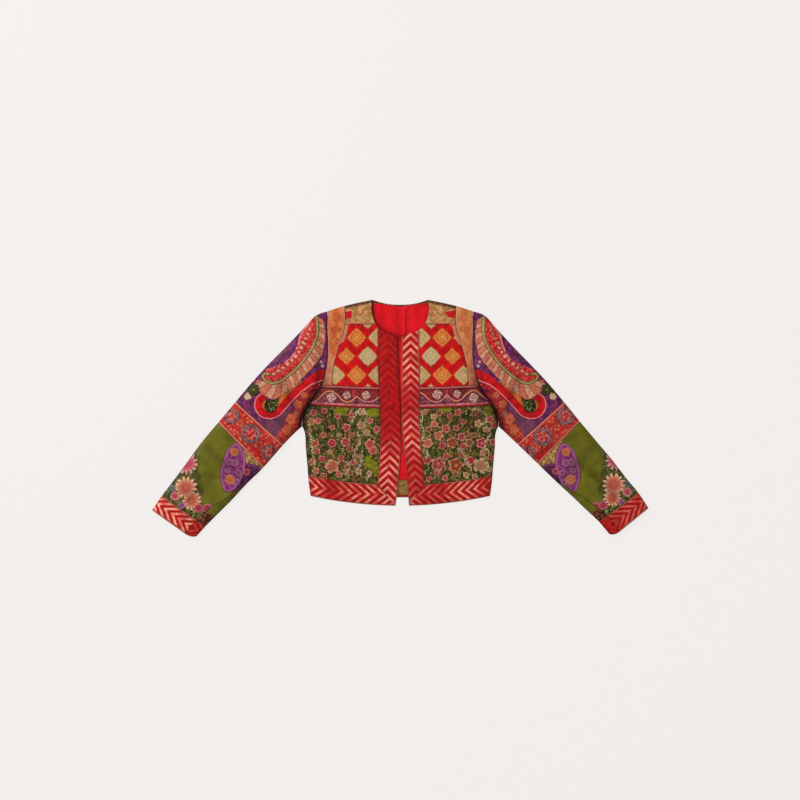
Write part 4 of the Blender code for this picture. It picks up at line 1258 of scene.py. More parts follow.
@dataclass(frozen=True)
class Cut:
    """Seams and lie of the jacket, with the sizes of its cut."""

    panel_wall: float = 0.0018
    band_wall: float = 0.0022
    back_wall: float = 0.0016
    lining_wall: float = 0.0010
    sleeve_wall: float = 0.0017
    layer_gap: float = 0.0003
    half_hem: float = 0.215
    hem: Row = (-0.2095, 0.0235)
    band_top: Row = (-0.1590, 0.0215)
    vine_low: Row = (0.0245, 0.0075)
    vine_high: Row = (0.0745, 0.0075)
    back_hem: Row = (-0.1895, 0.0035)
    back_band: Row = (-0.1395, 0.0035)
    facing_low: Row = (-0.1870, 0.0035)
    facing_high: Row = (-0.1470, 0.0035)
    yoke_y: float = 0.2260
    neck_corner_y: float = 0.2138
    neck_edge_y: float = 0.1985
    underarm_y: float = -0.0190
    lining_inset: float = 0.0120
    neck_inset: float = 0.0030
    centre_front: Table = (
        # y, right edge, right seam, left edge, left seam
        (-0.2120, 0.0115, 0.0560, 0.0205, 0.0580),
        (-0.1580, 0.0050, 0.0547, 0.0178, 0.0574),
        (-0.0750, -0.0010, 0.0485, 0.0095, 0.0505),
        (0.0200, 0.0002, 0.0480, 0.0024, 0.0455),
        (0.0950, 0.0034, 0.0525, 0.0031, 0.0470),
        (0.1500, 0.0055, 0.0535, 0.0034, 0.0462),
        (0.2300, 0.0080, 0.0535, 0.0040, 0.0452),
    )
    strip_seam: Table = (
        # y, x
        (0.0760, 0.1640),
        (0.1120, 0.1620),
        (0.1500, 0.1535),
        (0.1800, 0.1455),
        (0.2120, 0.1350),
        (0.2290, 0.1325),
        (0.2700, 0.1330),
    )
    outer_seam: Table = (
        # y, x
        (-0.1900, 0.2147),
        (-0.1570, 0.2195),
        (-0.1140, 0.2230),
        (-0.0700, 0.2270),
        (-0.0276, 0.2312),
        (-0.0190, 0.2350),
        (0.0050, 0.2325),
        (0.0270, 0.2245),
        (0.0500, 0.2085),
        (0.0820, 0.1885),
        (0.1110, 0.1800),
        (0.1430, 0.1745),
        (0.1850, 0.1740),
        (0.2200, 0.1755),
        (0.2575, 0.1740),
    )
    front_neck: Table = (
        # x, y
        (-0.0020, 0.1965),
        (0.0100, 0.1985),
        (0.0200, 0.2030),
        (0.0455, 0.2138),
        (0.0580, 0.2260),
        (0.0655, 0.2440),
        (0.0690, 0.2640),
        (0.0670, 0.2850),
    )
    back_neck: Table = (
        # x, y
        (0.0000, 0.2730),
        (0.0200, 0.2740),
        (0.0420, 0.2775),
        (0.0560, 0.2815),
        (0.0670, 0.2850),
    )
    shoulder: Table = (
        # x, y
        (0.0670, 0.2850),
        (0.1120, 0.2755),
        (0.1330, 0.2705),
        (0.1740, 0.2575),
    )
    front_lift: Table = (
        # y, at the outer seam, over the middle of the front
        (-0.2100, 0.0000, 0.0035),
        (-0.1500, 0.0000, 0.0045),
        (-0.0200, 0.0000, 0.0060),
        (0.0600, 0.0012, 0.0070),
        (0.1300, 0.0032, 0.0080),
        (0.2000, 0.0050, 0.0085),
        (0.2600, 0.0045, 0.0080),
    )
    side_reach: float = 0.022
    shoulder_reach: float = 0.008
    centre_reach: float = 0.045
    centre_share: float = 0.42
    hem_drop_reach: float = 0.014
    hem_drop_z: float = 0.0008
    hem_drop_start: float = 0.002
    # Painted shade: along the fronts' armhole and side seam, and on the lining beside the neck
    shade_top: float = 0.1500
    shade_reach: float = 0.0125
    neck_shade: float = 0.0065
    shade_fade: float = 0.08
    shade_foot: float = -0.05
    shade_foot_fade: float = 0.04
    shade_least: float = 0.2
    seam_shade: float = 0.4
    seam_shade_reach: float = 0.0015
    fold_fade: float = 0.03
    yoke_neck_x: float = 0.0580
    strip_top_x: float = 0.1330
    folds: Folds = Folds()

    def level(self, row: Row, x: Array | float) -> Array:
        """A level seam's y at x: its middle plus its rise times (x over half the hem) squared."""
        return row[0] + row[1] * (np.asarray(x, dtype=float) / self.half_hem) ** 2

    def outer_x(self, y: Array | float) -> Array:
        """Side seam and armhole."""
        return smooth(self.outer_seam, 0, 1, y)

    def strip_x(self, y: Array | float) -> Array:
        """Inner seam of the strip beside the armhole."""
        return smooth(self.strip_seam, 0, 1, y)

    def edge_x(self, side: Side, y: Array | float) -> Array:
        """Centre front edge."""
        return smooth(self.centre_front, 0, 1 if side is Side.RIGHT else 3, y)

    def band_x(self, side: Side, y: Array | float) -> Array:
        """Outer seam of the front band."""
        return smooth(self.centre_front, 0, 2 if side is Side.RIGHT else 4, y)

    def meet(self, standing: Callable, row: Row) -> Array:
        """The point where a standing seam x(y) crosses a level seam, by repeated substitution."""
        x = 0.1
        for _ in range(12):
            x = float(standing(self.level(row, x)))
        return np.array([x, float(self.level(row, x))])

    def level_line(self, row: Row, start: Array, end: Array, count: int = 60) -> Array:
        """Points of a level seam."""
        x = np.linspace(start[0], end[0], count)
        line = np.column_stack([x, self.level(row, x)])
        line[0], line[-1] = start, end
        return line

    def standing_line(self, standing: Callable, low: Array, high: Array, count: int = 80) -> Array:
        """Points of a standing seam."""
        y = np.linspace(low[1], high[1], count)
        line = np.column_stack([standing(y), y])
        line[0], line[-1] = low, high
        return line

    def front_under(self, side: Side, x: Array, y: Array) -> Array:
        """Height of the underside of a front.

        It starts on the back at the outer seam and the shoulder, rises to its lift, sinks again to the
        centre front, follows the folds, and falls where its hem lies beyond the back's.
        """
        edge, middle = smooth(self.front_lift, 0, 1, y), smooth(self.front_lift, 0, 2, y)
        from_side = self.outer_x(y) - x
        from_shoulder = smooth(self.shoulder, 0, 1, x) - y
        lift = edge + (middle - edge) * rise(from_side, self.side_reach)
        lift *= rise(from_shoulder, self.shoulder_reach)
        from_centre = rise(x - self.edge_x(side, y), self.centre_reach)
        lift *= self.centre_share + (1 - self.centre_share) * from_centre
        inside = ease(from_side / self.fold_fade) * ease(from_shoulder / self.fold_fade)
        height = self.back_wall + self.layer_gap + lift - self.folds.depth(side, x, y) * inside
        drop = ease((self.level(self.back_hem, x) - self.hem_drop_start - y) / self.hem_drop_reach)
        return height * (1 - drop) + self.hem_drop_z * drop


def wall_of(name: str, plan: Array, under: Array, thick: float, flip: bool = False) -> Wall:
    """A wall over a plan, whose outer side rolls down by 45% of its thickness at its edges.

    Args:
        name: the piece.
        plan: its points seen from above.
        under: the height of its underside.
        thick: its thickness.
        flip: True rolls the underside's edges up instead, for a piece whose good side lies below.
    Returns:
        The wall with its edge fields.
    """
    plan = draw_in(plan, HALF_GAP)
    rows, columns = border_runs(plan)
    edge = np.minimum(rows, columns)
    roll = ROLL_SHARE * thick * np.exp(-edge / ROLL_REACH)
    low, high = under, under + thick
    if flip:
        low = low + roll
    else:
        high = high - roll
    outer = np.concatenate([plan, high[..., None]], -1)
    inner = np.concatenate([plan, low[..., None]], -1)
    return Wall(name, outer, inner, plan.copy(), {"edge": edge})


@dataclass(frozen=True)
class Dressing:
    """The finished materials by their short names, and the way a cloth is put in place."""

    materials: dict[str, Material]

    def put(self, wall: Wall, sign: int, finish: str, slot: str, rests_on: tuple[str, ...]) -> None:
        """Builds a wall, gives it its finish, puts it under the root, hides the solid of its name and logs
        the size of its cut.

        Args:
            wall: the cloth.
            sign: the side it lies on.
            finish: the material's name.
            slot: not used.
            rests_on: not used.
        """
        node = wall.name
        wall.name = f"{node}_cloth"
        piece = wall.build(sign)
        piece.data.materials.append(self.materials[finish])
        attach(piece, "root")
        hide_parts(node)
        wide, long, area = wall.cut_size()
        LOG.info("%s: cut %.3f by %.3f m, %.4f square metres", node, wide, long, area)


# Tables for each side: the first four in metres, the others in millimetres on the flat cloth

HEM_CHEVRONS = {
    # chevron pitch along the hem, and where they start
    Side.RIGHT: (0.0206, 0.0140),
    Side.LEFT: (0.0191, 0.0064),
}

CUFF_PITCH = {Side.RIGHT: 0.0205, Side.LEFT: 0.0190}

RED_PATCH = {
    # x, y of the yoke's patch
    Side.RIGHT: ((0.1165, 0.2395), (0.1165, 0.2590), (0.1330, 0.2560), (0.1340, 0.2395)),
    Side.LEFT: ((0.1160, 0.2420), (0.1060, 0.2560), (0.1330, 0.2600), (0.1300, 0.2400)),
}

STATIONS = {
    # upper x, upper y, lower x, lower y, hind seam
    Side.RIGHT: (
        (0.1960, 0.2505, 0.2385, -0.0213, 1.12),
        (0.2100, 0.2405, 0.2420, -0.0245, 1.12),
        (0.2330, 0.2150, 0.2465, -0.0285, 1.12),
        (0.2720, 0.1745, 0.2535, -0.0350, 1.12),
        (0.3150, 0.1310, 0.2620, -0.0435, 1.12),
        (0.3560, 0.0865, 0.2710, -0.0530, 1.11),
        (0.3945, 0.0405, 0.2805, -0.0630, 1.10),
        (0.4374, -0.0102, 0.3293, -0.1185, 1.07),
        (0.4762, -0.0568, 0.3680, -0.1570, 1.00),
        (0.5100, -0.1030, 0.4090, -0.2004, 0.91),
        (0.5435, -0.1480, 0.4400, -0.2310, 0.83),
        (0.5715, -0.1845, 0.4670, -0.2585, 0.80),
        (0.5955, -0.2200, 0.4960, -0.2905, 0.80),
    ),
    Side.LEFT: (
        (0.1960, 0.2505, 0.2380, -0.0213, 1.12),
        (0.2100, 0.2405, 0.2412, -0.0243, 1.12),
        (0.2320, 0.2147, 0.2455, -0.0280, 1.12),
        (0.2695, 0.1740, 0.2525, -0.0345, 1.12),
        (0.3113, 0.1308, 0.2615, -0.0430, 1.12),
        (0.3530, 0.0865, 0.2705, -0.0515, 1.11),
        (0.3925, 0.0400, 0.2805, -0.0610, 1.10),
        (0.4310, -0.0073, 0.3308, -0.1094, 1.07),
        (0.4721, -0.0564, 0.3700, -0.1480, 1.00),
        (0.5088, -0.1000, 0.4110, -0.1855, 0.91),
        (0.5440, -0.1455, 0.4460, -0.2190, 0.83),
        (0.5706, -0.1773, 0.4757, -0.2471, 0.80),
        (0.5955, -0.2150, 0.5085, -0.2855, 0.80),
    ),
}

VINES = {
    # x, y
    Side.RIGHT: (
        (20, 62), (42, 56), (54, 49), (63, 43), (75, 40), (87, 42), (97, 47), (104, 52), (111, 47),
        (118, 41), (128, 39.5), (138, 43), (147, 53), (157, 62), (168, 66), (178, 64), (188, 55),
        (199, 44), (206, 40), (230, 40),
    ),
    Side.LEFT: (
        (20, 64), (47, 62), (57, 57), (64, 50), (74, 42), (86, 39.5), (98, 43), (106, 50), (112, 56),
        (119, 49), (127, 44), (136, 42), (146, 46), (154, 54), (163, 62), (172, 67), (182, 66), (190, 61),
        (199, 52), (208, 46), (232, 44),
    ),
}

ROSES = {
    # x, y, radius, tone
    Side.RIGHT: ((165, 50.5, 11.5, 0), (128, 56, 10, 0), (82, 55.5, 10.5, 0)),
    Side.LEFT: ((89, 57.5, 12, 0), (136, 59, 9.5, 0), (176, 50, 11.5, 0)),
}

CLEARINGS = {
    # x, y, half width, half height
    Side.RIGHT: ((142, 18, 19, 13), (66, 14, 20, 13), (77, -104, 11, 17), (59, -122, 9, 20)),
    Side.LEFT: ((211, 18, 14, 14), (108, 24, 15, 9), (222, -57, 9, 10), (118, -86, 9, 7)),
}

TRAILS = {
    # x and y along each trail of dots
    Side.RIGHT: (
        ((116, -8), (110, 4), (100, 19), (88, 17), (80, 6), (84, -10), (90, -28)),
        ((102, -34), (98, -46), (98, -58), (104, -72), (112, -84), (110, -100)),
        ((92, -80), (94, -94), (94, -108), (102, -122), (104, -134)),
        ((70, -128), (76, -138), (80, -146)),
        ((220, -8), (216, -32), (214, -54), (210, -80), (206, -100), (206, -118)),
        ((130, -104), (122, -112), (124, -122), (132, -134)),
    ),
    Side.LEFT: (
        ((46, 20), (52, 6), (50, -14), (56, -34), (52, -52)),
        ((176, 22), (196, 18), (206, 4), (204, -10), (192, -14)),
        ((214, -24), (212, -44), (202, -60), (212, -82)),
        ((56, -74), (66, -84), (62, -96)),
        ((140, -72), (152, -84), (156, -98), (170, -128), (160, -142)),
        ((196, -82), (206, -96), (210, -112), (200, -130)),
    ),
}

BLOSSOMS = {
    # x, y, radius, tone
    Side.RIGHT: (
        (182, 18, 8, 0), (118, 8, 8, 0), (94, 17, 10, 2), (129, -22, 11, 6), (94, -16, 10, 2),
        (56, -26, 10, 6), (80, -34, 9, 2), (184, -40, 8, 0), (164, -59, 11, 1), (117, -39, 8, 4),
        (131, -56, 12, 6), (121, -73, 9, 4), (72, -62, 13, 6), (66, -76, 11, 0), (204, -60, 9, 0),
        (200, -78, 9, 5), (189, -97, 9, 1), (142, -96, 9, 5), (163, -114, 18, 3), (126, -116, 8, 5),
        (120, -130, 8, 7), (184, -139, 10, 4), (100, -127, 9, 2), (94, -92, 7, 2), (108, -90, 7, 2),
        (74, -131, 8, 2), (213, -8, 9, 3), (197, -6, 8, 0), (218, -32, 8, 3), (212, -104, 9, 3),
        (203, -126, 9, 3), (150, 5, 8, 6), (72, -6, 8, 6), (208, 14, 9, 6), (112, -104, 9, 6),
        (163, -22, 7, 0), (147, -134, 8, 0), (206, -142, 8, 7), (148, -40, 6, 2), (168, -80, 7, 2),
    ),
    Side.LEFT: (
        (58, 16, 8, 3), (94, 13, 9, 7), (80, 4, 8, 2), (119, 6, 8, 5), (179, 16, 11, 7), (186, -12, 9, 2),
        (151, -8, 8, 5), (82, -13, 9, 3), (68, -26, 9, 7), (109, -24, 11, 0), (134, -23, 8, 0),
        (92, -41, 12, 3), (147, -44, 11, 0), (159, -37, 8, 7), (177, -40, 8, 7), (205, -26, 8, 2),
        (225, -16, 9, 0), (66, -59, 13, 3), (124, -58, 14, 4), (101, -65, 9, 1), (195, -59, 14, 1),
        (166, -58, 11, 7), (150, -66, 9, 1), (64, -101, 10, 1), (91, -109, 18, 5), (133, -112, 20, 4),
        (166, -102, 12, 1), (193, -112, 19, 2), (111, -90, 9, 0), (198, -83, 9, 3), (217, -92, 8, 1),
        (88, -130, 8, 0), (107, -142, 8, 0), (158, -135, 8, 2), (178, -139, 8, 2), (69, -145, 8, 5),
        (138, 15, 9, 6), (216, -2, 9, 6), (222, -57, 9, 0), (214, -122, 8, 2), (146, -85, 8, 5),
        (132, -134, 7, 7),
    ),
}

BORDER_BLOSSOMS = {
    # x, y, radius, tone
    Side.RIGHT: (
        (358, -37, 23, 0), (404, 6, 18, 0), (314, -82, 18, 0), (384, -10, 9, 1), (336, -66, 9, 2),
        (388, 26, 8, 2),
    ),
    Side.LEFT: ((396, 7, 22, 0), (341, -43, 22, 0), (304, -86, 19, 0), (368, -14, 9, 2), (322, -66, 9, 1)),
}

LOWER_BLOSSOMS = {
    # x, y, radius, tone
    Side.RIGHT: (
        (512, -107, 27, 1), (514, -166, 28, 0), (500, -196, 24, 0), (540, -186, 12, 1), (484, -214, 12, 4),
        (397, -80, 11, 3), (410, -104, 9, 2), (396, -106, 9, 2), (408, -146, 13, 3), (388, -130, 8, 2),
        (392, -152, 8, 2), (368, -128, 9, 4), (462, -216, 13, 4), (548, -166, 9, 7), (414, -124, 7, 2),
        (486, -140, 9, 5), (546, -140, 12, 5), (524, -208, 9, 2), (478, -176, 7, 5),
    ),
    Side.LEFT: (
        (518, -98, 27, 1), (512, -158, 28, 0), (508, -190, 22, 0), (544, -176, 12, 1), (486, -208, 12, 4),
        (397, -80, 11, 3), (410, -104, 9, 2), (396, -106, 9, 2), (408, -146, 13, 3), (388, -130, 8, 2),
        (392, -152, 8, 2), (372, -126, 9, 4), (468, -212, 13, 4), (546, -156, 9, 7), (414, -124, 7, 2),
        (488, -132, 9, 5), (544, -130, 12, 5), (530, -200, 9, 2), (480, -168, 7, 5),
    ),
}


@dataclass
class Front:
    """One front: seven pieces between level and standing seams."""

    side: Side
    cut: Cut
    dressing: Dressing
    # Painted reflection of the metal thread in braid_shine and hem_shine: 0 dull, 1 full shine
    braid_shine: Table = (
        # y, right band, left band
        (-0.2200, 0.95, 0.55),
        (-0.1500, 0.95, 0.25),
        (-0.1000, 0.90, 0.35),
        (-0.0700, 0.55, 0.95),
        (-0.0450, 0.16, 1.00),
        (-0.0150, 0.08, 0.95),
        (0.0050, 0.05, 0.45),
        (0.0700, 0.05, 0.45),
        (0.1000, 0.05, 0.95),
        (0.2200, 0.06, 1.00),
    )
    hem_shine: Table = (
        # x, right band, left band
        (0.0100, 1.00, 0.60),
        (0.0500, 1.00, 0.45),
        (0.0850, 0.95, 0.35),
        (0.1100, 0.95, 0.45),
        (0.1210, 0.80, 0.95),
        (0.1400, 0.45, 1.00),
        (0.1600, 0.15, 1.00),
        (0.1780, 0.25, 0.95),
        (0.1960, 1.00, 0.40),
        (0.2150, 0.95, 0.30),
    )
    band_pitch: float = 0.0184
    faded_strip: float = 0.45
    edging_foot: float = 0.185
    edging_fade: float = 0.012
    edging_away: float = 0.02
    left_shift: float = 0.0040

    def outlines(self) -> dict[str, tuple[Array, Array, Array, Array]]:
        """Each piece's four seams: south, north, west and east."""
        cut, side = self.cut, self.side
        edge, band = partial(cut.edge_x, side), partial(cut.band_x, side)
        hem_edge, hem_side = cut.meet(edge, cut.hem), cut.meet(cut.outer_x, cut.hem)
        top_band, top_side = cut.meet(band, cut.band_top), cut.meet(cut.outer_x, cut.band_top)
        low_band, low_side = cut.meet(band, cut.vine_low), cut.meet(cut.outer_x, cut.vine_low)
        high_band, high_side = cut.meet(band, cut.vine_high), cut.meet(cut.outer_x, cut.vine_high)
        high_strip = cut.meet(cut.strip_x, cut.vine_high)
        neck_band = np.array([float(band(cut.neck_corner_y)), cut.neck_corner_y])
        neck_edge = np.array([float(edge(cut.neck_edge_y)), cut.neck_edge_y])
        neck_yoke = np.array([cut.yoke_neck_x, cut.yoke_y])
        strip_yoke = np.array([float(cut.strip_x(cut.yoke_y)), cut.yoke_y])
        shoulder = through(cut.shoulder, 300)
        neck = through(cut.front_neck, 400)
        strip_top = shoulder[np.argmin(abs(shoulder[:, 0] - cut.strip_top_x))]
        neck_top, tip = shoulder[0], shoulder[-1]
        mitre = at_share(np.array([hem_edge, top_band]), np.linspace(0, 1, 20))
        standing, level = cut.standing_line, cut.level_line
        seam = standing(band, top_band, neck_band, 160)
        underarm = np.array([float(cut.outer_x(cut.underarm_y)), cut.underarm_y])
        side_low = standing(cut.outer_x, top_side, underarm)
        side_panel = join(side_low, standing(cut.outer_x, underarm, low_side))
        self.outer = join(
            side_panel,
            standing(cut.outer_x, low_side, high_side),
            standing(cut.outer_x, high_side, tip, 120),
        )
        inner_upper = join(standing(band, high_band, neck_band), between(neck, neck_band, neck_yoke))
        strip_upper = standing(cut.strip_x, high_strip, strip_yoke)
        strip_over = standing(cut.strip_x, strip_yoke, strip_top)
        yoke_low = np.array([neck_yoke, strip_yoke])
        low_panel = level(cut.vine_low, low_band, low_side)
        high_panel = level(cut.vine_high, high_band, high_strip)
        high_end = level(cut.vine_high, high_strip, high_side)
        return {
            "front_band": (
                mitre,
                between(neck, neck_edge, neck_band),
                standing(edge, hem_edge, neck_edge, 160),
                seam,
            ),
            "front_hem_band": (
                level(cut.hem, hem_edge, hem_side),
                level(cut.band_top, top_band, top_side),
                mitre,
                standing(cut.outer_x, hem_side, top_side),
            ),
            "lower_panel": (
                level(cut.band_top, top_band, top_side),
                low_panel,
                standing(band, top_band, low_band),
                side_panel,
            ),
            "vine_border": (
                low_panel,
                join(high_panel, high_end),
                standing(band, low_band, high_band),
                standing(cut.outer_x, low_side, high_side),
            ),
            "upper_panel": (high_panel, yoke_low, inner_upper, strip_upper),
            "yoke": (
                yoke_low,
                between(shoulder, neck_top, strip_top),
                between(neck, neck_yoke, neck_top),
                strip_over,
            ),
            "armhole_strip": (
                high_end,
                between(shoulder, strip_top, tip),
                join(strip_upper, strip_over),
                standing(cut.outer_x, high_side, tip, 120),
            ),
        }

    def shine(self, table: Table, where: Array) -> Array:
        """The painted reflection of the braid's metal thread: how strongly it shines."""
        return np.clip(smooth(table, 0, 1 if self.side is Side.RIGHT else 2, where), 0, 1)

    def fill_fields(self, name: str, wall: Wall) -> tuple[str, str]:
        """Adds a piece's motif fields, and returns its finish and its slot."""
        cut, side = self.cut, self.side
        x, y = wall.flat[..., 0], wall.flat[..., 1]
        rows, columns = border_runs(wall.outer)
        if name == "front_band":
            off = x - (cut.edge_x(side, y) + cut.band_x(side, y)) / 2
            wall.fields["band"] = np.stack([off, y / self.band_pitch, self.shine(self.braid_shine, y)], -1)
            wall.fields["long_edge"] = columns
            return "braid_front", "chevron_braid"
        if name == "front_hem_band":
            low, high = cut.level(cut.hem, x), cut.level(cut.band_top, x)
            pitch, start = HEM_CHEVRONS[side]
            place = (start - x) / pitch
            wall.fields["band"] = np.stack([y - (low + high) / 2, place, self.shine(self.hem_shine, x)], -1)
            wall.fields["long_edge"] = rows
            return "braid_hem", "chevron_braid"
        if name == "lower_panel":
            wall.bloom(BLOSSOMS[side], 8)
            wall.fields["open"] = soft_spots(wall.flat, CLEARINGS[side])
            lines = [through(table, 60) * MM for table in TRAILS[side]]
            wall.fields["trail"] = np.min([np.abs(near_curve(wall.flat, line)[0]) for line in lines], axis=0)
            return "meadow", "green_brocade"
        if name == "vine_border":
            middle = (cut.level(cut.vine_low, x) + cut.level(cut.vine_high, x)) / 2
            vine = near_curve(wall.flat, through(VINES[side]) * MM)[0]
            wall.fields["band"] = np.stack([y - middle, x, vine], -1)
            wall.bloom(ROSES[side], 1)
            return "vine", "vine_brocade"
        if name == "upper_panel":
            below = ease((self.edging_foot - y) / self.edging_fade)
            wall.fields["strip_gap"] = cut.strip_x(y) - x + self.edging_away * below
            wall.flat[..., 0] += 0.0 if side is Side.RIGHT else self.left_shift
            return "diamond", "diamond_brocade"
        if name == "yoke":
            square = inside_ring(wall.flat, np.array(RED_PATCH[side]))
            shoulder = smooth(cut.shoulder, 0, 1, x) - y
            wall.fields["plot"] = np.stack([square, shoulder, y - cut.yoke_y], -1)
            return "gold", "gold_brocade"
        middle = (cut.strip_x(y) + cut.outer_x(y)) / 2
        strength = 1.0 if side is Side.RIGHT else self.faded_strip
        wall.fields["band"] = np.stack([x - middle, y, np.full_like(x, strength)], -1)
        wall.fields["long_edge"] = columns
        return "trellis", "trellis_brocade"

    def build(self) -> None:
        """Builds and dresses the seven pieces."""
        cut = self.cut
        under = {"front_hem_band": "back_hem_facing_cloth", "yoke": "back_panel_cloth"}
        for name, seams in self.outlines().items():
            plan = coons(*seams)
            thick = cut.band_wall if name in ("front_band", "front_hem_band") else cut.panel_wall
            low = cut.front_under(self.side, plan[..., 0], plan[..., 1])
            wall = wall_of(f"{name}_{self.side.value}", plan, low, thick)
            x, y = wall.flat[..., 0], wall.flat[..., 1]
            # Painted shade: darker along the armhole and side seam, most on the lower armhole, and in the
            # folds
            below = ease((cut.shade_top - y) / cut.shade_fade)
            below *= ease((y - cut.shade_foot) / cut.shade_foot_fade)
            below = below * (1 - cut.shade_least) + cut.shade_least
            gap = np.maximum(cut.outer_x(y) - x, 0)
            near = cut.seam_shade * np.exp(-gap / cut.seam_shade_reach)
            shade = below * (np.exp(-gap / cut.shade_reach) + near)
            wall.fields["shade"] = np.clip(shade + cut.folds.shade(self.side, x, y), 0, 1)
            finish, slot = self.fill_fields(name, wall)
            self.dressing.put(wall, self.side.sign, finish, slot, (under.get(name, "back_lining_cloth"),))


@dataclass
class Sleeve:
    """One two-piece sleeve as a flattened tube, with a border and a cuff.

    A place round the tube is 0 at the upper fold, 1 at the lower fold and 2 at the upper fold again.
    """

    side: Side
    cut: Cut
    dressing: Dressing
    armhole: Array
    height: Table = (
        # share of the length, height of the crown, height at the folds
        (0.00, 0.0125, 0.0105),
        (0.15, 0.0175, 0.0130),
        (0.35, 0.0165, 0.0125),
        (0.60, 0.0150, 0.0115),
        (0.85, 0.0125, 0.0100),
        (1.00, 0.0110, 0.0095),
    )
    head_end: int = 7
    cuff_seam: int = 12
    head_blend: float = 0.30
    top_fold: float = 0.14
    under_fold: float = 0.09
    fold_centre: float = 0.36
    flat_centre: float = 0.00205
    fore_seam: float = -0.10
    hind_start: float = 1.12
    corner_round: float = 0.010
    corner_start: float = 0.80
    corner_share: float = 0.20
    corner_power: float = 2.5
    bulge_power: float = 1.2
    fold_fade: float = 0.2
    turn_points: int = 9
    flat_points: int = 74
    under_points: int = 76
    fore_steps: tuple = (0.0, 0.004, 0.009)
    fore_clear: float = 0.088
    armhole_from: float = 0.35
    armhole_fade: float = 0.5
    ribbon_swell: float = 0.45
    ribbon_start: float = 0.060
    ribbon_fade: float = 0.050
    frill_short: int = 30
    armhole_gap: float = 0.0005
    fold_step: float = 0.005
    seam_columns: int = 8
    roll_share: float = 0.42
    # Painted reflection of the cuffs' metal thread: top and under cuff, and the left cuff's dull stretch
    cuff_shine: Row = (0.95, 0.18)
    dull_share: float = 0.65
    dull_start: float = 0.085
    dull_reach: float = 0.03
    # Painted shade: along the armhole seam, with a wide and a narrow reach, then beside the lower and upper
    # folds
    armhole_shade: Table = (
        # strength, reach
        (1.1, 0.013),
        (0.45, 0.0016),
    )
    fold_shade: Table = (
        # strength, reach: by the lower fold, by the upper fold
        (0.40, 0.05),
        (0.18, 0.03),
    )
    under_lift: float = 0.35
    under_calm: Row = (1.1, 1.86)
    cord: Table = (
        (194, 246), (195, 232), (199, 203), (210, 171), (228, 144), (250, 118), (272, 100), (292, 87),
        (308, 85), (322, 91), (329, 101), (323, 109), (314, 106),
    )
    outline: Table = (
        (204, 244), (214, 229), (234, 202), (244, 174), (258, 150), (279, 133), (300, 123), (322, 118),
    )
    frill: Table = (
        (181, 235), (181, 210), (182, 181), (191, 149), (210, 124), (232, 101), (261, 71), (289, 55),
        (306, 47), (322, 54), (338, 68), (346, 80), (342, 92),
    )
    ribbon: Table = (
        (172, 106), (190, 103), (209, 94), (234, 77), (260, 53), (280, 31), (296, 14), (314, 8), (331, 14),
        (340, 30), (337, 45), (324, 54),
    )
    orange: Table = (
        (256, 74), (268, 68), (279, 56), (285, 40), (291, 26), (301, 14), (316, 10), (328, 18), (332, 30),
        (328, 42),
    )
    drop: Table = (
        (293, 50), (307, 47), (319, 39), (324, 29), (320, 20), (310, 16), (300, 21), (295, 34),
    )
    leaf: Table = ((238, 86), (250, 74), (262, 60), (270, 46))
    thicket: Table = (
        (176, 78), (196, 66), (214, 62), (236, 44), (252, 24), (262, 4), (282, -20), (300, -60),
        (240, -60), (170, 20),
    )
    grey_edge: Table = (
        (262, 192), (270, 168), (286, 152), (300, 141), (320, 131), (360, 120), (330, 230), (240, 240),
    )
    dusk: Table = (
        (262, 30), (284, 12), (300, -2), (322, -4), (330, -20), (290, -50), (268, -20), (256, 10),
    )
    upper_blossoms: Table = (
        # x, y, radius, tone
        (213, 214, 4, 0), (219, 203, 4, 3), (225, 192, 4, 0), (231, 181, 5, 3), (237, 170, 5, 0),
        (243, 159, 4, 3), (251, 149, 5, 0), (260, 140, 4, 3), (270, 131, 5, 0), (281, 122, 4, 3),
        (292, 114, 5, 0), (303, 107, 4, 3), (206, 226, 4, 5), (187, 126, 5, 4), (190, 136, 4, 4),
        (352, 70, 15, 2), (366, 53, 9, 3), (246, 34, 12, 1), (262, -2, 15, 1), (272, -28, 14, 1),
        (230, 56, 9, 1), (208, 250, 7, 2), (224, 26, 9, 5), (248, 12, 8, 5), (300, 190, 5, 4),
        (336, 120, 5, 4), (300, 158, 5, 4), (352, 96, 5, 4),
    )
    medallion: Table = (
        (394, -57), (413, -74), (426, -108), (431, -132), (428, -156), (419, -175), (403, -173),
        (387, -157), (375, -130), (371, -105), (375, -80), (384, -64),
    )
    second: Table = (
        (384, -118), (370, -108), (350, -110), (334, -122), (358, -152), (384, -178), (402, -188),
        (398, -160),
    )
    corner: Table = (
        (388, -50), (384, -62), (375, -78), (369, -102), (371, -122), (330, -118), (326, -104),
    )
    garden: Table = (
        (478, -84), (486, -106), (484, -132), (480, -160), (478, -196), (460, -214), (440, -232),
        (470, -270), (600, -200), (560, -110), (500, -60),
    )

    def __post_init__(self) -> None:
        """Lines up the stations behind the armhole's two ends."""
        table = STATIONS[self.side]
        hole = self.armhole[::-1]
        places = [(float(k + 1), *row) for k, row in enumerate(table)]
        start = (0.0, hole[0, 0], hole[0, 1], hole[-1, 0], hole[-1, 1], self.hind_start)
        self.track = tuple([start] + places)
        self.last = float(len(table))
        self.hole = hole
        self.hole_share = run(hole) / run(hole)[-1]
        mids = np.array([[(r[1] + r[3]) / 2, (r[2] + r[4]) / 2] for r in self.track[: self.head_end + 1]])
        self.ahead = run(mids) / run(mids)[-1]

    def fold(self, column_x: int, s: Array) -> Array:
        """A fold's points at stations `s`."""
        return np.stack([smooth(self.track, 0, column_x, s), smooth(self.track, 0, column_x + 1, s)], -1)

    @staticmethod
    def share(ring: Array) -> Array:
        """The share from the upper fold to the lower one at places round the tube."""
        return np.where(ring < 0, -ring, np.where(ring > 1, 2 - ring, ring))

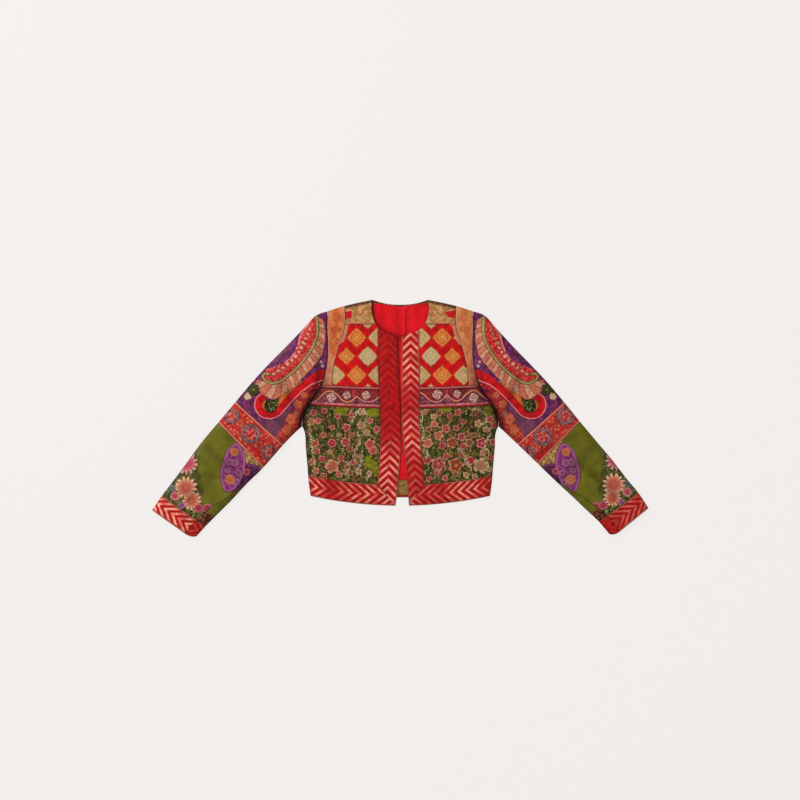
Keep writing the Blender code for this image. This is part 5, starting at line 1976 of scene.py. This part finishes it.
    def plan(self, s: Array, a: Array) -> Array:
        """Points seen from above.

        The line from the upper to the lower fold at share `a`, plus the armhole's bulge off its own
        chord, which fades towards the border, less a small rounding of the cuff's lower corner.
        """
        a = a[..., None]
        upper, lower = self.fold(1, s), self.fold(3, s)
        straight = (1 - a) * upper + a * lower
        bulge = np.stack([np.interp(a[..., 0], self.hole_share, self.hole[:, k]) for k in (0, 1)], -1)
        bulge -= (1 - a) * self.hole[0] + a * self.hole[-1]
        ahead = np.interp(s, np.arange(len(self.ahead)), self.ahead)
        straight = straight + ((1 - ahead) ** self.bulge_power)[..., None] * bulge
        start = np.clip(1 - s, 0, 1)[..., None]
        outward = (self.fold(1, np.ones_like(s)) * (1 - a) + self.fold(3, np.ones_like(s)) * a) - straight
        outward /= np.maximum(np.linalg.norm(outward, axis=-1, keepdims=True), 1e-6)
        straight = straight + self.armhole_gap * start * outward
        end = np.clip(s - (self.last - 1), 0, 1)[..., None] ** 2
        back = self.fold(3, np.full_like(s, self.last - 1)) - self.fold(3, np.full_like(s, self.last))
        back /= np.linalg.norm(back, axis=-1, keepdims=True)
        corner = np.clip((a - self.corner_start) / self.corner_share, 0, 1) ** self.corner_power
        return straight + end * self.corner_round * corner * back

    def section(self, s: Array, ring: Array, shrink: Array | float) -> Array:
        """Points of the tube.

        Top and under sides are two flat halves that close on the folds with quarter circles, over
        and under a middle height. At the head they close up to the front's cloth at the armhole.

        Args:
            s: stations.
            ring: places round the tube.
            shrink: depth below the outside.
        Returns:
            The points.
        """
        along = s / self.last
        top = (ring > 0) & (ring < 1)
        a = self.share(ring)
        width = np.linalg.norm(self.fold(1, s) - self.fold(3, s), axis=-1)
        plan = self.plan(s, 0.5 + (a - 0.5) * (1 - 2 * shrink / width))
        crown, edge = smooth(self.height, 0, 1, along), smooth(self.height, 0, 2, along)
        height = edge + (crown - edge) * np.sin(np.pi * a)
        centre = self.fold_centre * edge
        head = ease(s / self.head_end / self.head_blend)
        seam = self.plan(np.zeros_like(s), a)
        cloth = self.cut.front_under(self.side, seam[..., 0], seam[..., 1]) + self.cut.panel_wall
        height = (1 - head) * cloth + head * height
        centre = (1 - head) * self.flat_centre + head * centre
        depth = self.cut.folds.depth(self.side, plan[..., 0], plan[..., 1])
        inside = ease(a / self.fold_fade) * ease((1 - a) / self.fold_fade) * head
        height = height - depth * inside
        from_fold = np.minimum(a, 1 - a)
        top_round = np.sqrt(1 - (1 - np.clip(from_fold / self.top_fold, 0, 1)) ** 2)
        under_round = np.sqrt(1 - (1 - np.clip(from_fold / self.under_fold, 0, 1)) ** 2)
        over = (height - centre) * top_round * (height - shrink - centre) / (height - centre)
        under = centre * under_round * (centre - shrink) / centre
        lifted = self.under_lift * depth * inside
        z = np.where(top, centre + over, centre - under + lifted)
        return np.concatenate([plan, z[..., None]], -1)

    def around(self, s: Array, top: bool) -> Array:
        """Places round the tube for each station: evenly over the flats and closer round the folds.

        The columns beside the hind seam stay pinned on the lower fold wherever the seam is past it.
        """
        hind = smooth(self.track, 0, 5, s[:, 0])[:, None]
        turn = np.linspace(0, np.pi / 2, self.turn_points)
        reach = self.seam_columns * self.fold_step
        if top:
            near = self.top_fold * (1 - np.cos(turn))
            fore = -self.under_fold * (1 - np.cos(turn[6:0:-1]))
            lead = self.fore_seam + np.array(self.fore_steps)
            fore = np.concatenate([lead, fore[fore > -self.fore_clear]])
            flat = np.linspace(self.top_fold, 1 - self.top_fold, self.flat_points)[1:-1]
            base = np.concatenate([near, flat, 1 - near[::-1]])
            pinned = np.minimum(1.0, hind - reach)
            scaled = np.where(base < 0.5, base, 0.5 + (base - 0.5) * (pinned - 0.5) / 0.5)
            tail = pinned + (hind - pinned) * np.linspace(0, 1, self.seam_columns + 1)[None, 1:]
            return np.concatenate([np.tile(fore, (len(s), 1)), scaled, tail], 1)
        near = self.under_fold * (1 - np.cos(turn))
        pinned = np.maximum(1.0, hind + reach)
        lead = hind + (pinned - hind) * np.linspace(0, 1, self.seam_columns + 1)[None, :-1]
        end = 2 + self.fore_seam
        flat = np.linspace(self.under_fold, 1 + self.fore_seam, self.under_points)
        base = np.concatenate([near[:-1], flat])
        over = pinned + base[None] / base[-1] * (end - pinned)
        return np.concatenate([lead, over], 1)

    def wall(self, name: str, first: float, last: float, top: bool) -> Wall:
        """One sleeve piece between two stations.

        Args:
            name: the piece.
            first: the station it starts at.
            last: the station it ends at.
            top: True for a top sleeve piece.
        Returns:
            The wall, whose flat place unrolls each row of the tube from its middle.
        """
        rough = np.linspace(first, last, 60)
        mid = (self.fold(1, rough) + self.fold(3, rough)) / 2
        length = run(mid)
        s = np.interp(spread(length[-1]) * length[-1], length, rough)[:, None]
        ring = self.around(s, top)
        s = np.broadcast_to(s, ring.shape).copy()
        flush = self.section(s, ring, 0.0)
        rows, columns = border_runs(flush)
        edge = np.minimum(rows, columns)
        roll = self.roll_share * self.cut.sleeve_wall * np.exp(-edge / ROLL_REACH)
        outer = draw_in(self.section(s, ring, roll), HALF_GAP)
        inner = draw_in(self.section(s, ring, self.cut.sleeve_wall), HALF_GAP)
        arc = grid_runs(flush, 1)
        centre_ring = 0.5 if top else 1.5
        k = np.abs(ring - centre_ring).argmin(1)
        n = np.arange(len(k))
        middle = self.plan(s, np.full_like(s, 0.5))[:, 0]
        heading = self.fold(3, s)[:, 0] - self.fold(1, s)[:, 0]
        heading /= np.linalg.norm(heading, axis=1, keepdims=True)
        share = self.share(ring)
        chord = self.plan(s, share)
        off = (arc - arc[n, k][:, None]) * (1 if top else -1)
        flat = middle[:, None] + heading[:, None] * off[..., None]
        low, high = (self.top_fold, 1 - self.top_fold) if top else self.under_calm
        calm = (ring > low) & (ring < high)
        slip = np.where(calm[..., None], chord - flat, 0)
        first_calm, last_calm = calm.argmax(1), ring.shape[1] - 1 - calm[:, ::-1].argmax(1)
        index = np.arange(ring.shape[1])[None]
        before, after = index < first_calm[:, None], index > last_calm[:, None]
        slip = np.where(before[..., None], slip[n, first_calm][:, None], slip)
        slip = np.where(after[..., None], slip[n, last_calm][:, None], slip)
        made = Wall(f"{name}_{self.side.value}", outer, inner, flat + slip, {"edge": edge})
        made.fields["row_edge"] = rows
        # Painted shade: darker along the armhole seam, beside the sleeve's lower and upper folds, and in the
        # top pieces' creases
        seam = np.linalg.norm(self.plan(s, share) - self.plan(np.zeros_like(s), share), axis=-1)
        (wide, wide_reach), (near, near_reach) = self.armhole_shade
        head = ease((share - self.armhole_from) / self.armhole_fade) * wide * np.exp(-seam / wide_reach)
        head = head + near * np.exp(-seam / near_reach)
        (lower, lower_reach), (upper, upper_reach) = self.fold_shade
        fold = np.exp(-np.clip(1 - share, 0, 1) / lower_reach) * lower
        fold = fold + np.exp(-np.clip(share, 0, 1) / upper_reach) * upper
        creases = self.cut.folds.shade(self.side, made.outer[..., 0], made.outer[..., 1]) if top else 0.0
        made.fields["shade"] = np.clip(head + fold + creases, 0, 1)
        return made

    def signed(self, flat: Array, table: Table, closed: bool = True) -> Array:
        """Signed distance from one of the sleeve's own outlines, which is closed first, or curves."""
        line = through(table + table[:1] if closed else table) * MM
        return inside_ring(flat, line) if closed else near_curve(flat, line)[0]

    def paisley_fields(self, wall: Wall) -> None:
        """The big paisley's distances: cord, frill, body, ribbon, drop and grounds."""
        flat = wall.flat
        cord_line, outline, frill_line = (through(t) * MM for t in (self.cord, self.outline, self.frill))
        cord, along = near_curve(flat, cord_line)
        frill = inside_ring(flat, np.vstack([cord_line[: -self.frill_short], frill_line[::-1]]))
        body = inside_ring(flat, np.vstack([cord_line, outline[::-1]]))
        edge = np.abs(near_curve(flat, outline)[0])
        zero = np.zeros_like(cord)
        wall.fields["cord"] = np.stack([-cord, along, frill], -1)
        wall.fields["body"] = np.stack([body, edge, zero], -1)
        ribbon, run_on = near_curve(flat, through(self.ribbon) * MM)
        ribbon /= 1 + self.ribbon_swell * ease((self.ribbon_start - run_on) / self.ribbon_fade)
        leaf = np.abs(self.signed(flat, self.leaf, closed=False))
        wall.fields["ribbon"] = np.stack([ribbon, run_on, leaf], -1)
        orange = self.signed(flat, self.orange, closed=False)
        wall.fields["drop"] = np.stack([orange, self.signed(flat, self.drop), zero], -1)
        grounds = [self.signed(flat, table) for table in (self.dusk, self.grey_edge, self.thicket)]
        wall.fields["ground"] = np.stack(grounds, -1)
        wall.bloom(self.upper_blossoms, 6)

    def build(self) -> None:
        """Builds and dresses the six pieces."""
        side, sign = self.side.value, self.side.sign
        end, seam, head = self.last, float(self.cuff_seam), float(self.head_end)
        upper = self.wall("sleeve_top_upper", 0.0, head, True)
        self.paisley_fields(upper)
        self.dressing.put(upper, sign, "paisley", "paisley_brocade", (f"sleeve_under_{side}_cloth",))
        border = self.wall("sleeve_border", head, head + 1, True)
        border.bloom(BORDER_BLOSSOMS[self.side], 3)
        self.dressing.put(border, sign, "rosette", "rosette_brocade", (f"sleeve_under_{side}_cloth",))
        lower = self.wall("sleeve_top_lower", head + 1, seam, True)
        plots = [self.signed(lower.flat, table) for table in (self.medallion, self.corner, self.garden)]
        lower.fields["plot"] = np.stack(plots, -1)
        lower.fields["second"] = self.signed(lower.flat, self.second)
        lower.bloom(LOWER_BLOSSOMS[self.side], 8)
        self.dressing.put(lower, sign, "olive", "green_brocade", (f"sleeve_under_{side}_cloth",))
        under = self.wall("sleeve_under", 0.0, seam, False)
        lines = []
        for station in (head, head + 1):
            fold = np.full(40, station)
            across = self.plan(fold, np.linspace(-0.2, 1.2, 40))
            lines.append(near_curve(under.flat, across)[0])
        down = grid_runs(under.outer, 0)
        under.fields["plot"] = np.stack([*lines, down[-1:] - down], -1)
        self.dressing.put(under, sign, "under_sleeve", "paisley_brocade", ("floor",))
        for name, top in (("cuff_top", True), ("cuff_under", False)):
            cuff = self.wall(name, seam, end, top)
            down, along = grid_runs(cuff.outer, 0), grid_runs(cuff.outer, 1)
            along = np.broadcast_to(along[len(along) // 2], along.shape)
            off = down - down[-1:] / 2
            # Painted reflection: the top cuff shines more than the under cuff, and the left cuff dulls past
            # dull_start
            strength = np.full_like(off, self.cuff_shine[0] if top else self.cuff_shine[1])
            if self.side is Side.LEFT:
                dull = ease((along - self.dull_start) / self.dull_reach)
                strength = strength * (1 - self.dull_share * dull)
            along = along if top else along.max() - along
            cuff.fields["band"] = np.stack([off, -along / CUFF_PITCH[self.side], strength], -1)
            cuff.fields["long_edge"] = border_runs(cuff.outer)[0]
            rest = (f"cuff_under_{side}_cloth",) if top else ("floor",)
            self.dressing.put(cuff, sign, f"braid_cuff_{side}", "chevron_braid", rest)


@dataclass
class Back:
    """The back panel, its hem band, the lining inside it and the facing of its hem."""

    cut: Cut
    dressing: Dressing
    outer: Array
    short_of_tip: int = 12
    # Strength of the painted shadow on the lining beside the neck edge
    rim_shade: float = 0.75

    @staticmethod
    def whole(half: Array) -> Array:
        """A line right across the jacket from its outward half."""
        return join((half * (-1, 1))[::-1], half)

    def build(self) -> None:
        """Builds the four level pieces from their outlines."""
        cut, outer = self.cut, self.outer
        hem_x = float(cut.meet(cut.outer_x, cut.hem)[0])
        hem_end = np.array([hem_x, float(cut.level(cut.back_hem, hem_x))])
        rows = (cut.back_hem, cut.back_band, cut.facing_low, cut.facing_high)
        middle = [np.array([0.0, row[0]]) for row in rows]
        hem = self.whole(cut.level_line(cut.back_hem, middle[0], hem_end))
        band_top = self.whole(cut.level_line(cut.back_band, middle[1], outer[0]))
        side = np.array([hem_end, outer[0]])
        plan = coons(hem, band_top, side * (-1, 1), side)
        band = wall_of("back_hem_band", plan, np.zeros(plan.shape[:2]), cut.back_wall, flip=True)
        x, y = band.flat[..., 0], band.flat[..., 1]
        off = y - (cut.level(cut.back_hem, x) + cut.level(cut.back_band, x)) / 2
        # The third number is the braid's painted reflection, even along the back
        band.fields["band"] = np.stack([off, -np.abs(x) / BRAID_PITCH, np.full_like(x, 0.8)], -1)
        band.fields["long_edge"] = border_runs(band.outer)[0]
        self.dressing.put(band, 1, "braid_hem", "chevron_braid", ("floor",))
        neck, shoulder = through(cut.back_neck, 80), through(cut.shoulder, 80)
        plan = coons(band_top, self.whole(join(neck, shoulder)), outer * (-1, 1), outer)
        low = np.zeros(plan.shape[:2])
        panel = wall_of("back_panel", plan, low, cut.back_wall, flip=True)
        self.dressing.put(panel, 1, "back", "green_brocade", ("floor",))
        low_x = hem_x - cut.lining_inset
        low_end = np.array([low_x, float(cut.level(cut.facing_low, low_x))])
        high_x = float(cut.outer_x(cut.level(cut.facing_high, low_x))) - cut.lining_inset
        high_end = np.array([high_x, float(cut.level(cut.facing_high, high_x))])
        foot = self.whole(cut.level_line(cut.facing_low, middle[2], low_end))
        top = self.whole(cut.level_line(cut.facing_high, middle[3], high_end))
        side = np.array([low_end, high_end])
        plan = coons(foot, top, side * (-1, 1), side)
        level = cut.back_wall + cut.layer_gap
        facing = wall_of("back_hem_facing", plan, np.full(plan.shape[:2], level), cut.lining_wall)
        self.dressing.put(facing, 1, "facing", "facing_cloth", ("back_hem_band_cloth",))
        inset = outer[outer[:, 1] > high_end[1] + cut.lining_inset][: -self.short_of_tip]
        inset = inset - (cut.lining_inset, 0)
        side = np.vstack([high_end, inset])
        start = np.array(cut.back_neck[0])
        neck = between(through(cut.back_neck, 200), start, np.array(cut.back_neck[-2])) - (0, cut.neck_inset)
        over = np.array([neck[-1], neck[-1] + (cut.lining_inset, -cut.lining_inset / 2), side[-1]])
        plan = coons(top, self.whole(join(neck, over)), side * (-1, 1), side)
        lining = wall_of("back_lining", plan, np.full(plan.shape[:2], level), cut.lining_wall)
        # Painted shadow: the raised neck edge of the wearer's right front darkens the lining beside it
        rim = through(cut.front_neck, 120) * (-1, 1)
        from_rim = np.abs(near_curve(lining.flat, rim)[0])
        lining.fields["shade"] = self.rim_shade * np.exp(-from_rim / cut.neck_shade)
        self.dressing.put(lining, 1, "lining", "red_lining", ("back_panel_cloth",))


@dataclass(frozen=True)
class Studio:
    """Pale floor, soft light and a camera that looks straight down."""

    height: float = 7.0
    view_width: float = 1.92
    centre: Row = (-0.0007, 0.0444)
    sensor: float = 36.0
    floor_reach: float = 30.0
    floor_z: float = -0.0003
    floor_grey: float = 0.08
    floor_glow: tuple = (0.814, 0.782, 0.760, 1.0)
    surround: tuple = (1.0, 0.985, 0.965, 1.0)
    surround_strength: float = 0.44
    lamps: Table = (
        # x, y, z, size, watts
        (-2.8, 2.2, 3.0, 1.6, 160.0),
        (2.6, -1.5, 3.2, 3.0, 19.0),
    )

    def floor(self) -> None:
        """A plain pale floor, part lit and part self-lit, which stays even, but dark beneath the cloth."""
        mesh = bpy.data.meshes.new("floor")
        reach, z = self.floor_reach, self.floor_z
        corners = [(-reach, -reach, z), (reach, -reach, z), (reach, reach, z), (-reach, reach, z)]
        mesh.from_pydata(corners, [], [(0, 1, 2, 3)])
        floor = bpy.data.objects.new("floor", mesh)
        bpy.context.scene.collection.objects.link(floor)
        paper = Paper("floor_paper")
        shader = paper.shader
        shader.inputs["Base Color"].default_value = (*[self.floor_grey] * 3, 1.0)
        shader.inputs["Roughness"].default_value = 0.95
        shader.inputs["Specular IOR Level"].default_value = 0.0
        shader.inputs["Emission Strength"].default_value = 1.0
        x, y, _ = paper.split(paper.node("ShaderNodeTexCoord", {}, {}).outputs["Object"])
        covered = abs(x).step(0.236, 0.234) * y.step(-0.019, -0.017) * y.step(0.206, 0.204)
        covered = covered.high(abs(x).step(0.188, 0.186) * y.step(0.204, 0.206) * y.step(0.248, 0.246))
        glow = paper.mix(covered, self.floor_glow, (0.0, 0.0, 0.0, 1.0))
        paper.tree.links.new(glow, shader.inputs["Emission Color"])
        mesh.materials.append(paper.material)

    def lights(self) -> None:
        """A soft light from the upper left, a weak one from the right, and a pale surround."""
        for number, (x, y, z, size, watts) in enumerate(self.lamps):
            lamp = bpy.data.lights.new(f"softbox_{number}", "AREA")
            lamp.size, lamp.energy = size, watts
            holder = bpy.data.objects.new(lamp.name, lamp)
            holder.location = (x, y, z)
            direction = bpy.context.scene.cursor.location - holder.location
            holder.rotation_euler = direction.to_track_quat("-Z", "Y").to_euler()
            bpy.context.scene.collection.objects.link(holder)
        world = bpy.data.worlds.new("surround")
        bpy.context.scene.world = world
        world.use_nodes = True
        background = world.node_tree.nodes["Background"]
        background.inputs["Color"].default_value = self.surround
        background.inputs["Strength"].default_value = self.surround_strength

    def camera(self) -> None:
        """A long lens over the middle of the view."""
        lens = bpy.data.cameras.new("camera")
        lens.sensor_width = self.sensor
        lens.lens = self.sensor * self.height / self.view_width
        lens.clip_end = 100.0
        holder = bpy.data.objects.new("camera", lens)
        holder.location = (*self.centre, self.height)
        bpy.context.scene.collection.objects.link(holder)
        bpy.context.scene.camera = holder

    def build(self) -> None:
        """Sets up the floor, the lights, the camera and the Standard view."""
        self.floor()
        self.lights()
        self.camera()
        bpy.context.scene.view_settings.view_transform = "Standard"


def main() -> None:
    """Builds the jacket and its studio."""
    logging.basicConfig(level=logging.INFO, format="%(message)s")
    Studio().build()
    finishes = {
        "braid_front": ChevronBraid("chevron_braid_front", 1.03, 0.50, "D2645A", "F4AA98"),
        "braid_hem": ChevronBraid("chevron_braid_hem", 1.25, 0.50, "CE5C50", "F2A48E"),
        "braid_cuff_right": ChevronBraid("chevron_braid_cuff_right", 1.42, 0.56, "DC6A60", "F6B49C"),
        "braid_cuff_left": ChevronBraid("chevron_braid_cuff_left", 1.50, 0.54, "B84840", "D8705F"),
        "meadow": MeadowBrocade(),
        "olive": OliveBrocade(),
        "vine": VineBrocade(),
        "diamond": DiamondBrocade(),
        "gold": GoldBrocade(),
        "trellis": TrellisBrocade(),
        "paisley": PaisleyBrocade(),
        "rosette": RosetteBrocade(),
        "under_sleeve": UnderSleeveBrocade(),
        "back": BackBrocade(),
        "lining": SatinLining(),
        "facing": FacingCloth(),
    }
    dressing = Dressing({name: finish.dress() for name, finish in finishes.items()})
    cut = Cut()
    for side in Side:
        front = Front(side, cut, dressing)
        front.build()
        start = np.abs(front.outer[:, 1] - cut.underarm_y).argmin()
        Sleeve(side, cut, dressing, front.outer[start:]).build()
    Back(cut, dressing, front.outer).build()


if __name__ == "__main__":
    main()
